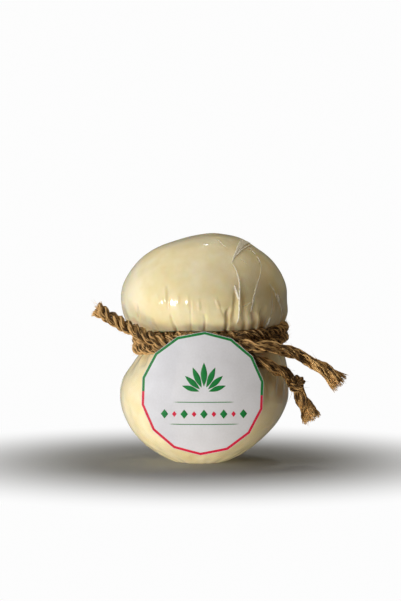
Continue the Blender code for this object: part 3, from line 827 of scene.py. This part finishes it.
class SCAMORZA_OT_cheese(bpy.types.Operator):
    """Makes the curd and the clinging film that is stretched over it"""

    bl_idname = "scamorza.cheese"
    bl_label = "Curd and film"

    def execute(self, context):
        settings = context.scene.scamorza_cheese
        shape, folded, away = cheese_skin(settings)
        film_shape = lifted_copy(shape, settings.film_gap)
        # The twine's stain near the neck, darker down in the folds as painted shade, and painted shade in
        # the bottoms of all deep folds
        near = 1 - smooth_step(away / STAIN_REACH)
        stain_and_shade = STAIN_SHARE * near * (0.35 + 0.65 * smooth_step(folded / STAIN_FOLD))
        stain_and_shade += FOLD_SHADE_SHARE * smooth_step(folded / FOLD_SHADE_DEPTH)
        places = np.array([vert.co for vert in shape.verts])
        columns, rows = seen_from_front(places)
        # Browner patches from the table: painted shade on the shaded right and in fold valleys, and a line
        # along the crease below the crown
        for line, half_width, share in SHADE_AND_STAIN_PATCHES:
            apart, _ = near_line(columns, rows, line)
            stain_and_shade += np.where(places[:, 1] < 0, share * (1 - smooth_step(apart / half_width)), 0)
        own_attribute(shape, "stain_and_shade", np.clip(stain_and_shade, 0, STAIN_MOST))
        add_piece("curd", shape, [curd_material(settings)], ["cheese"])

        own_attribute(film_shape, "milk", 0.01 + 0.03 * smooth_step(folded / 0.0015))
        tree = BVHTree.FromBMesh(film_shape)
        film = film_material("clear_stretch_film", settings, 0.2)
        add_piece("film", film_shape, [film], ["cheese"])

        draw = random.Random(REAR_SEED)
        creases = bmesh.new()
        shares = []
        for line, width, white in CREASES:
            seen = [
                front_point(tree, point.x, point.y, CREASE_LIFT)
                for point in spaced([(*point, 0) for point in line], 1.0)
            ]
            draw_crease(creases, seen, width, draw)
            shares += [white] * (len(creases.verts) - len(shares))
        for line in rear_crease_lines(draw):
            seen = [
                side_point(tree, angle, height, CREASE_LIFT)
                for angle, height, _ in spaced([(*point, 0) for point in line], 0.02)
            ]
            draw_crease(creases, seen, REAR_WIDTH, draw)
            shares += [REAR_WHITE] * (len(creases.verts) - len(shares))
        film_patch(creases, tree)
        shares += [PATCH_WHITE] * (len(creases.verts) - len(shares))
        own_attribute(creases, "milk", shares)
        bunched = film_material("bunched_stretch_film", settings, 0.45)
        add_piece("film_creases", creases, [bunched], ["cheese"])
        return {"FINISHED"}


def jute_material(name, settings, paler):
    """Jute: coarse, matt, golden-brown fibres, each thread of them a little paler or darker than the next.

    The UV map of a thread is in metres. Real fibres are 0.05 mm thick, and they are drawn about 0.3 mm
    wide to show.
    """
    made, tree = new_material(name)
    place = add(tree, "TexCoord").outputs
    fibres = add(tree, "Mapping", {"Scale": (3000.0, 300.0, 1.0)}, {"Vector": place["UV"]})
    threads = add(tree, "TexNoise", {"Scale": 1.0, "Detail": 4.0, "Roughness": 0.65, "Distortion": 0.4},
                  {"Vector": fibres})
    # Patches about 4 mm long, as the plant colours its own fibres
    patches = add(tree, "TexNoise", {"Scale": 260.0, "Detail": 2.0}, {"Vector": place["Object"]})
    tone = add(tree, "Attribute", {"attribute_name": "tone"}).outputs["Fac"]
    mixed = add(tree, "Math", {"operation": "MULTIPLY_ADD", 1: 0.34, 2: paler}, {0: tone})
    for share, source in ((0.5, patches), (0.7, threads)):
        mixed = add(tree, "Math", {"operation": "MULTIPLY_ADD", 1: share}, {0: source, 2: mixed})
    # The darkest stop is painted shade: the cores and the low spots of the threads' noise fall near it, and
    # show as the shade between fibres
    shade = [0.15 * share for share in settings.fibre_dark]
    colour = ramp(tree, mixed, ((0.60, shade), (0.70, settings.fibre_dark), (0.86, settings.fibre)))
    bump = add(tree, "Bump", {"Strength": 1.0, "Distance": 0.0004}, {"Height": threads})
    finish(tree, add(
        tree, "BsdfPrincipled",
        {"Roughness": 0.75, "IOR": 1.5, "Sheen Weight": 0.2, "Sheen Roughness": 0.5,
         "Sheen Tint": (*settings.fibre, 1)},
        {"Base Color": colour, "Normal": bump},
    ))
    return made


def fine_route(route, step):
    """Points about a step apart on one smooth curve through a route, and its length."""
    fine = []
    for span in curve_spans(route):
        fine += interpolate_bezier(*span, 24)[:-1]
    fine.append(Vector(route[-1]))
    gone = gone_along(fine)
    count = max(2, round(gone[-1] / step))
    line = []
    number = 0
    for place in range(count + 1):
        length = gone[-1] * place / count
        while number < len(gone) - 2 and gone[number + 1] < length:
            number += 1
        share = (length - gone[number]) / (gone[number + 1] - gone[number])
        line.append(fine[number].lerp(fine[number + 1], min(1, share)))
    return line, gone[-1]


def turn_point(angle, offset, outwards=0.0):
    """A point on a turn of twine, at an angle round the neck."""
    radius = TURN_RADIUS + outwards
    return Vector((
        middle_shift(NECK_HEIGHT) + radius * math.cos(angle),
        radius * math.sin(angle),
        NECK_HEIGHT + offset + TURN_RISE * math.cos(angle) ** 3,
    ))


def lay_rope(
    shape, line, settings, draw, outwards=None, closed=False, fray=0.0, opening=0.0, phase=0.0,
    scale=1.0, lay_share=1.0,
):
    """Lays three strands round a line, each a core with threads of fibre wound round it.

    fray is the length at the line's end over which they open up. Where outwards isn't given, the ways out
    are those from the neck's middle.
    """
    outwards = outwards or [Vector((point.x, point.y, 0)) for point in line]
    last = len(line) - 1
    length = gone_along(line)[-1]
    lays = length / (settings.lay * scale * lay_share)
    if closed:
        lays = round(lays)
    step = length / last
    reach = (settings.spread - settings.strand) * scale / 2
    ways = ways_along(line, outwards, closed)
    loose = [
        0.0 if fray == 0 else 1 - min(1, (length - step * number) / fray) for number in range(last + 1)
    ]
    # The noise fades out at the join of a closed turn
    joins = [
        smooth_step(min(number, last - number) / JOIN_POINTS) if closed else 1
        for number in range(last + 1)
    ]
    for strand in range(STRANDS):
        centres, outs, radii = [], [], []
        for number, (side, over, _) in enumerate(ways):
            turn = phase + FULL_TURN * (strand / STRANDS + lays * number / last)
            place = Vector((strand * 7, phase, number * step * STRAND_SWAY_SCALE))
            turn += STRAND_SWAY * joins[number] * noise.noise(place)
            way = side * math.cos(turn) + over * math.sin(turn)
            centres.append(line[number] + way * reach * (1 + opening * loose[number]))
            outs.append(way)
            radii.append(settings.strand * scale / 2 * (1 - 0.5 * loose[number]))
        core = [CORE_SHARE * radius for radius in radii]
        roll_tube(shape, centres, outs, core, 8, closed, CORE_SHADE_TONE)
        for thread in range(settings.threads):
            start = FULL_TURN * (thread + draw.uniform(-0.25, 0.25)) / settings.threads
            girth = settings.strand * scale * draw.uniform(*THREAD_GIRTH)
            waver = draw.uniform(0, 90)
            points, sizes = [], []
            for number, (_, _, along) in enumerate(ways):
                join, gone = joins[number], number * step
                turn = start - FULL_TURN * lays * number / last
                turn += THREAD_WAVER * join * noise.noise(Vector((waver, gone * THREAD_WAVER_SCALE, 0)))
                across = along.cross(outs[number])
                way = outs[number] * math.cos(turn) + across * math.sin(turn)
                place = Vector((gone * THREAD_RISE_SCALE, waver, 0))
                rise = THREAD_RISE + THREAD_RISE_SPREAD * join * noise.noise(place)
                points.append(centres[number] + way * radii[number] * rise * (1 + 0.6 * loose[number]))
                place = Vector((waver, 5, gone * THREAD_SWELL_SCALE))
                sizes.append(girth * (1 + THREAD_SWELL * join * noise.noise(place)))
            roll_tube(shape, points, outs, sizes, 4, closed, draw.uniform(0.15, 1))


def add_hairs(shape, line, settings, count, draw, spread=1.0):
    """Loose fibres that leave the twine's surface at a low angle and curl away."""
    last = len(line) - 1
    for _ in range(count):
        number = draw.randrange(1, last)
        along = (line[number + 1] - line[number - 1]).normalized()
        if draw.random() < 0.5:
            along = -along
        way = Vector((draw.gauss(0, 1), draw.gauss(0, 1), draw.gauss(0, 1)))
        way = (way - along * way.dot(along)).normalized()
        side = along.cross(way)
        length = draw.uniform(*HAIR_LENGTHS)
        rise = draw.uniform(*HAIR_RISES) * spread
        sway = draw.uniform(-HAIR_SWAY, HAIR_SWAY)
        start = line[number] + way * TWINE_DIAMETER * 0.46
        points = [
            start + length * (along * share + way * rise * share**1.5 + side * sway * share**2)
            for share in HAIR_SHARES
        ]
        radii = [settings.hair / 2 * (1 - 0.6 * share) for share in HAIR_SHARES]
        roll_tube(shape, points, [side] * len(points), radii, 3, tone=draw.uniform(0.3, 1))


def round_ways(along):
    """Two ways square to a way and to each other, and that way."""
    along = along.normalized()
    side = along.cross(Vector((0, 1, 0))).normalized()
    return side, along.cross(side), along


def add_fray(shape, line, settings, count, reach, width, draw):
    """Loose fibres that carry on from the cut end and fan out."""
    step = gone_along(line)[-1] / (len(line) - 1)
    tail = line[max(0, len(line) - 1 - round(reach / step)):]
    side, over, _ = round_ways(tail[-1] - tail[-3])
    for _ in range(count):
        turn = draw.uniform(0, FULL_TURN)
        out = 0.35 + 0.65 * math.sqrt(draw.random())
        way = side * math.cos(turn) + over * math.sin(turn) * 0.75
        begin = draw.uniform(*FRAY_STARTS)
        finish_at = draw.uniform(*FRAY_ENDS)
        swing = draw.uniform(-0.4, 0.4)
        points = []
        for number in range(FRAY_POINTS):
            share = begin + (finish_at - begin) * number / (FRAY_POINTS - 1)
            place = share * (len(tail) - 1)
            low = min(int(place), len(tail) - 2)
            centre = tail[low].lerp(tail[low + 1], place - low)
            fan = FRAY_CORE + (width / 2 - FRAY_CORE) * share**2
            wave = math.sin(number * 1.3 + turn) * 0.00016
            points.append(centre + way * out * fan + side * (swing * share**3 * 0.001 + wave))
        thickness = draw.uniform(*FRAY_THICKNESS) * settings.hair
        radii = [thickness * (1 - 0.06 * number) for number in range(FRAY_POINTS)]
        roll_tube(shape, points, [way] * FRAY_POINTS, radii, 4, tone=draw.uniform(0.35, 1))


class SCAMORZA_OT_free_ends(bpy.types.Operator):
    """Lays the three free ends of twine, with the stopper knot and the frayed fibres"""

    bl_idname = "scamorza.free_ends"
    bl_label = "Free ends of twine"

    def execute(self, context):
        settings = context.scene.scamorza_twine
        rope = jute_material("laid_jute_twine", settings, 0.0)
        loose = jute_material("loose_jute_fibres", settings, 0.30)
        # Name, route, nodes, length and opening of the frayed part, number and width of its fibres, first
        # turn of the strands, length of their lay and thickness as shares of the usual
        ends = (
            ("left_end", LEFT_END_ROUTE, ["twine_left_end"], 0.004, 0.20, 150, 0.0066, 0.3, 1.1, 1.14),
            ("upper_end", UPPER_END_ROUTE, ["twine_upper_end"], 0.016, 0.75, 380, 0.0078, 1.7, 3.6, 1.04),
            ("lower_end", LOWER_END_ROUTE, ["twine_lower_end", "twine_lower_tuft"], 0.014, 0.95, 340,
             0.0080, 0.9, 2.8, 1.0),
        )
        for number, (name, route, nodes, fray, opening, count, width, phase, lay, scale) in enumerate(ends):
            draw = random.Random(31 + number)
            line, length = fine_route(route, ROPE_STEP)
            shape = bmesh.new()
            lay_rope(shape, line, settings, draw, None, False, fray, opening, phase, scale, lay)
            end = add_piece(name, shape, [rope], nodes)
            shape = bmesh.new()
            free = line[round(0.0092 / length * len(line)):]
            add_hairs(shape, free, settings, 46, draw)
            add_fray(shape, line, settings, count, fray + 0.002, width, draw)
            fibres = add_piece(f"{name}_fibres", shape, [loose])
            if name == "lower_end":
                shape = bmesh.new()
                wind_stopper(shape, line, length, settings, draw)
                add_hairs(shape, line[round(0.033 / length * len(line)):round(0.039 / length * len(line))],
                          settings, 24, draw, 2.0)
                add_piece("stopper_knot", shape, [rope], ["twine_end_knot"])
            path, _ = fine_route(route, length / 24)
        return {"FINISHED"}


def wind_stopper(shape, line, length, settings, draw):
    """The stopper knot: the end wound twice round itself, pulled tight."""
    before, middle, after = (
        line[round((END_KNOT_PLACE + shift) / length * (len(line) - 1))] for shift in (-0.002, 0, 0.002)
    )
    side, over, along = round_ways(after - before)
    points, ways = [], []
    for step in range(61):
        share = step / 60 - 0.5
        turn = FULL_TURN * STOPPER_WINDS * share + STOPPER_START
        way = side * math.cos(turn) + over * math.sin(turn)
        radius = STOPPER_RADIUS - STOPPER_DROP * (2 * abs(share)) ** 4
        points.append(middle + way * radius + along * share * STOPPER_LENGTH + STOPPER_SHIFT)
        ways.append(way)
    lay_rope(shape, points, settings, draw, ways, scale=STOPPER_SCALE)


def arch_line(angle, climb, bulge_out):
    """Fine points of an arch of twine over both turns."""
    points = []
    for step in range(ARCH_STEPS + 1):
        share = 2 * step / ARCH_STEPS - 1
        along = angle + share * KNOT_HALF_LENGTH / TURN_RADIUS
        height = climb * math.sin(math.radians(90) * share) * TURN_SPACING / 2
        points.append(turn_point(along, height, bulge_out * math.cos(math.radians(80) * share)))
    return points


class SCAMORZA_OT_tie(bpy.types.Operator):
    """Lays the two turns of twine round the neck, with the knot and the hitch"""

    bl_idname = "scamorza.tie"
    bl_label = "Twine round the neck"

    def execute(self, context):
        settings = context.scene.scamorza_twine
        rope = bpy.data.materials["laid_jute_twine"]
        loose = bpy.data.materials["loose_jute_fibres"]
        draw = random.Random(77)
        shape = bmesh.new()
        hairs = bmesh.new()
        for number, offset in enumerate((-TURN_SPACING / 2, TURN_SPACING / 2)):
            line = [turn_point(FULL_TURN * step / TURN_STEPS, offset) for step in range(TURN_STEPS)]
            line.append(line[0].copy())
            lay_rope(shape, line, settings, draw, closed=True, phase=number * 1.1)
            add_hairs(hairs, line, settings, settings.hairs // 2, draw)
        for angle in (KNOT_ANGLE, HITCH_ANGLE):
            for climb, bulge_out in ((1, KNOT_BULGE), (-1, UNDER_ARCH_BULGE)):
                lay_rope(shape, arch_line(angle, climb, bulge_out), settings, draw, phase=climb)
        add_piece("tie", shape, [rope], ["twine_tie"])
        add_piece("tie_fibres", hairs, [loose], ["twine_tie"])
        return {"FINISHED"}


def paper_material(settings):
    """Coated label paper, offset printed: cool white, smooth, with a soft satin shine and a faint tooth."""
    made, tree = new_material("coated_label_paper")
    place = add(tree, "TexCoord").outputs["Object"]
    # The tooth of the paper is about 0.1 mm, drawn 0.9 mm wide to show
    tooth = add(tree, "TexNoise", {"Scale": 1100.0, "Detail": 2.0, "Roughness": 0.6}, {"Vector": place})
    clouds = add(tree, "TexNoise", {"Scale": 90.0, "Detail": 2.0}, {"Vector": place})
    both = add(tree, "Math", {"operation": "MULTIPLY_ADD", 1: 0.5}, {0: tooth, 2: clouds})
    colour = ramp(tree, both, ((0.45, [0.90 * share for share in settings.paper]), (0.95, settings.paper)))
    bump = add(tree, "Bump", {"Strength": 0.12, "Distance": 0.0002}, {"Height": tooth})
    finish(tree, add(tree, "BsdfPrincipled", {"Roughness": 0.48, "IOR": 1.5},
                     {"Base Color": colour, "Normal": bump}))
    return made


def ink_material(name, colour):
    """Offset ink on coated paper: a solid colour with the paper's satin shine, a little uneven."""
    made, tree = new_material(name)
    place = add(tree, "TexCoord").outputs["Object"]
    # Ink takes unevenly in specks about 0.5 mm across
    specks = add(tree, "TexNoise", {"Scale": 2000.0, "Detail": 2.0}, {"Vector": place})
    paler = [min(1, share * 1.2 + 0.02) for share in colour]
    mottled = ramp(tree, specks, ((0.35, colour), (0.85, paler)))
    finish(tree, add(tree, "BsdfPrincipled", {"Roughness": 0.55, "IOR": 1.5}, {"Base Color": mottled}))
    return made


def label_front(across, up):
    """How far forward the label's front is, at an offset from its middle."""
    lift = LABEL_BEND_RADIUS_ABOVE if up > 0 else LABEL_BEND_RADIUS_BELOW
    bent = across**2 / (2 * LABEL_BEND_RADIUS) + up**2 / (2 * lift)
    return -BELLY_RADIUS - CLEARANCE - LABEL_THICKNESS + bent


def label_up():
    """The way up the label, which is turned a little in its own plane."""
    return Vector((math.sin(LABEL_TURN), 0, math.cos(LABEL_TURN)))


def label_sides():
    """The way out of each straight side of the label, in its own plane."""
    ways = []
    for side in range(LABEL_SIDES):
        angle = math.pi / 2 - LABEL_TURN + (side + 0.5) * FULL_TURN / LABEL_SIDES
        ways.append(Vector((math.cos(angle), 0, math.sin(angle))))
    return ways


def cut(shape, faces, place, way, clear=False):
    """Cuts some faces of a sheet along a plane, and clears what lies past it where asked."""
    edges = {edge for face in faces for edge in face.edges}
    verts = {vert for face in faces for vert in face.verts}
    bmesh.ops.bisect_plane(
        shape, geom=[*faces, *edges, *verts], dist=1e-7, plane_co=place, plane_no=way, clear_outer=clear
    )


def cut_sheet(settings):
    """A flat sheet cut to its straight sides, with the lines of its printed edge cut into it."""
    shape = bmesh.new()
    bmesh.ops.create_grid(
        shape, x_segments=LABEL_GRID, y_segments=LABEL_GRID, size=LABEL_RADIUS * 1.05,
        matrix=Matrix.Rotation(math.radians(90), 4, "X"),
    )
    apothem = LABEL_RADIUS * math.cos(math.pi / LABEL_SIDES)
    for outward in label_sides():
        cut(shape, list(shape.faces), outward * apothem, outward, True)
    for inset in (settings.edge, settings.edge + settings.line):
        for outward in label_sides():
            near = [
                face for face in shape.faces
                if apothem - face.calc_center_median().dot(outward) < LABEL_BAND
                and face.calc_center_median().length > apothem - 1.5 * LABEL_BAND
            ]
            cut(shape, near, outward * (apothem - inset), outward)
    cut(shape, list(shape.faces), (0, 0, 0), label_up())
    return shape, apothem


def bend_sheet(shape, lift, thickness):
    """Bends a flat sheet round the belly, sets it on the label's front and gives it its thickness."""
    for vert in shape.verts:
        vert.co.y = label_front(vert.co.x, vert.co.z) - lift
    bmesh.ops.translate(shape, vec=LABEL_CENTRE, verts=shape.verts)
    bmesh.ops.translate(shape, vec=(0, thickness, 0), verts=extruded(shape, shape.faces))


def print_shape(shape, width, length, turn, place, point_power, number):
    """A leaf or a lozenge: a grid drawn to a point at both ends, turned and put in its place."""
    grid = bmesh.ops.create_grid(shape, x_segments=4, y_segments=14, size=0.5)["verts"]
    for vert in grid:
        along = 2 * vert.co.y
        wide = max(0.0, 1 - abs(along) ** point_power)
        vert.co = Vector((vert.co.x * width * wide, 0, vert.co.y * length))
    bmesh.ops.remove_doubles(shape, verts=grid, dist=1e-7)
    left = [vert for vert in grid if vert.is_valid]
    bmesh.ops.transform(
        shape, matrix=Matrix.Translation(place) @ Matrix.Rotation(turn, 4, "Y"), verts=left
    )
    for face in {face for vert in left for face in vert.link_faces}:
        face.material_index = number


class SCAMORZA_OT_label(bpy.types.Operator):
    """Makes the paper label with its two-coloured edge line and a plain leaf ornament"""

    bl_idname = "scamorza.label"
    bl_label = "Paper label"

    def execute(self, context):
        settings = context.scene.scamorza_label
        paper = paper_material(settings)
        green = ink_material("green_offset_ink", settings.green)
        red = ink_material("red_offset_ink", settings.red)
        shape, apothem = cut_sheet(settings)
        level, sides = label_up(), label_sides()
        for face in shape.faces:
            middle = face.calc_center_median()
            inset = apothem - max(middle.dot(outward) for outward in sides)
            if settings.edge < inset < settings.edge + settings.line:
                face.material_index = 1 if middle.dot(level) > 0 else 2
        bend_sheet(shape, 0, LABEL_THICKNESS)
        label = add_piece("paper_label", shape, [paper, green, red], ["label"])
        label.data.set_sharp_from_angle(angle=math.radians(40))

        shape = bmesh.new()
        for number in range(-3, 4):
            turn = LEAF_TURN * number
            size = 1 - 0.08 * abs(number)
            place = Vector((ORNAMENT_MIDDLE, 0, LEAF_ROOT))
            place += Vector((math.sin(turn), 0, math.cos(turn))) * LEAF_REACH * size
            print_shape(shape, LEAF_WIDTH * size, LEAF_LENGTH * size, turn, place, 1.7, 0)
        for number in range(-4, 5):
            size = SMALL_LOZENGE if number % 2 else LARGE_LOZENGE
            place = Vector((ORNAMENT_MIDDLE + LOZENGE_SPACING * number, 0, LOZENGE_HEIGHT))
            print_shape(shape, size, size * 1.25, 0, place, 1.0, number % 2)
        for height, width in RULES:
            place = Vector((ORNAMENT_MIDDLE, 0, height))
            print_shape(shape, RULE_WIDTH, width, math.radians(90), place, 14, 0)
        bend_sheet(shape, 0.00002, 0.00001)
        add_piece("label_print", shape, [green, red], ["label"])
        return {"FINISHED"}


def area_light(name, place, aim, size, power, colour, glossy=True, diffuse=True):
    """A square soft light that faces a point."""
    data = bpy.data.lights.new(name, "AREA")
    data.shape = "RECTANGLE"
    data.size, data.size_y = size
    data.energy = power
    data.color = colour
    lamp = bpy.data.objects.new(name, data)
    lamp.location = place
    lamp.rotation_euler = (Vector(aim) - Vector(place)).to_track_quat("-Z", "Y").to_euler()
    lamp.visible_glossy, lamp.visible_diffuse = glossy, diffuse
    bpy.context.scene.collection.objects.link(lamp)


class SCAMORZA_OT_stage(bpy.types.Operator):
    """Sets up the camera, the pale paper sweep and the soft lights"""

    bl_idname = "scamorza.stage"
    bl_label = "Stage"

    def execute(self, context):
        settings = context.scene.scamorza_stage
        scene = context.scene
        scene.view_settings.view_transform = "Standard"
        data = bpy.data.cameras.new("camera")
        data.lens = LENS
        data.sensor_width = 36
        camera = bpy.data.objects.new("camera", data)
        camera.location = VIEW_EYE
        camera.rotation_euler = (math.radians(90) - VIEW_TILT, 0, 0)
        scene.collection.objects.link(camera)
        scene.camera = camera
        self.make_sweep(settings)
        self.make_room(scene, settings)
        middle, crown = (0, 0, 0.06), (0, 0, 0.09)
        white, ivory, warm = (1, 0.985, 0.95), (1, 0.90, 0.68), (1, 0.85, 0.60)
        # Name, place, aim, size, power, colour, and whether it shows in gloss and in matt colour. The wide
        # lights only light the colours. Small ones beside them make the small, hard glints.
        lights = (
            ("key", (-0.78, -0.65, 0.21), middle, (0.30, 0.24), settings.key, white, False, True),
            ("edge", (-0.80, 0.45, 0.16), middle, (0.40, 0.50), settings.edge, white, False, True),
            ("shoulder", (0.20, 0.25, 1.05), middle, (0.22, 0.16), settings.shoulder, ivory, False, True),
            ("bounce", (-0.28, -0.36, -0.52), middle, (0.5, 0.3), settings.bounce, warm, False, True),
            ("key_glint", (-0.74, -0.70, 0.05), middle, (0.26, 0.08), settings.glint, white, True, False),
            ("crown_glint", (0.03, 0.66, 0.94), crown, (0.10, 0.04), settings.crown, (1, 1, 1), True, True),
        )
        for light in lights:
            area_light(*light)
        return {"FINISHED"}

    def make_sweep(self, settings):
        """A paper floor that curves up into a wall with no edge."""
        shape = bmesh.new()
        curve = [math.radians(90) * step / 16 for step in range(17)]
        bend = [
            (SWEEP_FLOOR + SWEEP_BEND * math.sin(turn), SWEEP_BEND * (1 - math.cos(turn))) for turn in curve
        ]
        line = ((-2.2, 0), *bend, (SWEEP_FLOOR + SWEEP_BEND, 3.0))
        profile = [shape.verts.new((-3, back, up)) for back, up in line]
        edges = [shape.edges.new(pair) for pair in zip(profile, profile[1:])]
        made = bmesh.ops.extrude_edge_only(shape, edges=edges)["geom"]
        moved = [item for item in made if isinstance(item, bmesh.types.BMVert)]
        bmesh.ops.translate(shape, vec=(6, 0, 0), verts=moved)
        bmesh.ops.translate(shape, vec=(0, 0, -0.0001), verts=shape.verts)
        mesh = bpy.data.meshes.new("paper_sweep")
        shape.to_mesh(mesh)
        shape.free()
        mesh.shade_smooth()
        made, tree = new_material("matt_backdrop_paper")
        paper = add(tree, "BsdfPrincipled", {"Base Color": (*settings.backdrop, 1), "Roughness": 0.9})
        # Past the pool of shade round the cheese the paper is blown out to white, as a lit backdrop is
        place = add(tree, "TexCoord").outputs["Object"]
        away = add(tree, "VectorMath", {"operation": "LENGTH"}, {0: place}).outputs["Value"]
        far = add(tree, "MapRange", {
            "interpolation_type": "SMOOTHSTEP", "From Min": SHADE_RADIUS, "From Max": WHITE_RADIUS,
        }, {"Value": away})
        white = add(tree, "Emission", {"Color": (1, 1, 1, 1), "Strength": 0.98})
        seen = add(tree, "Math", {"operation": "MULTIPLY"}, {0: far, 1: add(tree, "LightPath")})
        finish(tree, add(tree, "MixShader", links={0: seen, 1: paper, 2: white}))
        mesh.materials.append(made)
        sweep = bpy.data.objects.new("paper_sweep", mesh)
        bpy.context.scene.collection.objects.link(sweep)
        # The key light comes from a little below the edge of the table, so the paper doesn't shade it
        sweep.visible_shadow = False

    def make_room(self, scene, settings):
        """A dim, warm room with a soft ceiling: it fills the shadows, and looks pale behind the stage."""
        world = bpy.data.worlds.new("room")
        world.use_nodes = True
        tree = world.node_tree
        tree.nodes.clear()
        way = add(tree, "SeparateXYZ", links={0: add(tree, "TexCoord")}).outputs["Z"]
        height = add(tree, "MapRange", {
            "interpolation_type": "SMOOTHSTEP", "From Min": 0.25, "From Max": 1.0, "To Max": settings.top,
        }, {"Value": way})
        ceiling = add(tree, "Background", {"Color": (1, 0.93, 0.74, 1)}, {"Strength": height})
        dim = add(tree, "Background", {"Color": (1, 0.55, 0.22, 1), "Strength": settings.fill})
        lit = add(tree, "AddShader", links={0: ceiling, 1: dim})
        pale = add(tree, "Background", {"Color": (0.97, 0.97, 0.97, 1), "Strength": 1.0})
        both = add(tree, "MixShader", links={0: add(tree, "LightPath"), 1: lit, 2: pale})
        add(tree, "OutputWorld", links={"Surface": both})
        scene.world = world


class SCAMORZA_PT_panel(bpy.types.Panel):
    """Lists the pieces of the scamorza and their settings"""

    bl_idname = "SCAMORZA_PT_panel"
    bl_label = "Scamorza"
    bl_space_type = "VIEW_3D"
    bl_region_type = "UI"
    bl_category = "Scamorza"

    def draw(self, context):
        for operator, settings in STEPS:
            box = self.layout.box()
            box.operator(operator.bl_idname)
            group = getattr(context.scene, settings)
            for name in group.bl_rna.properties.keys():
                if name not in ("rna_type", "name"):
                    box.prop(group, name)


GROUPS = {
    "scamorza_stage": SCAMORZA_PG_stage,
    "scamorza_twine": SCAMORZA_PG_twine,
    "scamorza_cheese": SCAMORZA_PG_cheese,
    "scamorza_label": SCAMORZA_PG_label,
}
STEPS = (
    (SCAMORZA_OT_stage, "scamorza_stage"),
    (SCAMORZA_OT_free_ends, "scamorza_twine"),
    (SCAMORZA_OT_tie, "scamorza_twine"),
    (SCAMORZA_OT_cheese, "scamorza_cheese"),
    (SCAMORZA_OT_label, "scamorza_label"),
)


def register():
    for name, group in GROUPS.items():
        bpy.utils.register_class(group)
        setattr(bpy.types.Scene, name, bpy.props.PointerProperty(type=group))
    for operator, _ in STEPS:
        bpy.utils.register_class(operator)
    bpy.utils.register_class(SCAMORZA_PT_panel)


def unregister():
    bpy.utils.unregister_class(SCAMORZA_PT_panel)
    for operator, _ in reversed(STEPS):
        bpy.utils.unregister_class(operator)
    for name, group in reversed(GROUPS.items()):
        delattr(bpy.types.Scene, name)
        bpy.utils.unregister_class(group)


def main():
    """Makes every piece in order."""
    register()
    bpy.ops.scamorza.stage()
    bpy.ops.scamorza.free_ends()
    bpy.ops.scamorza.tie()
    bpy.ops.scamorza.cheese()
    bpy.ops.scamorza.label()


if __name__ == "__main__":
    main()
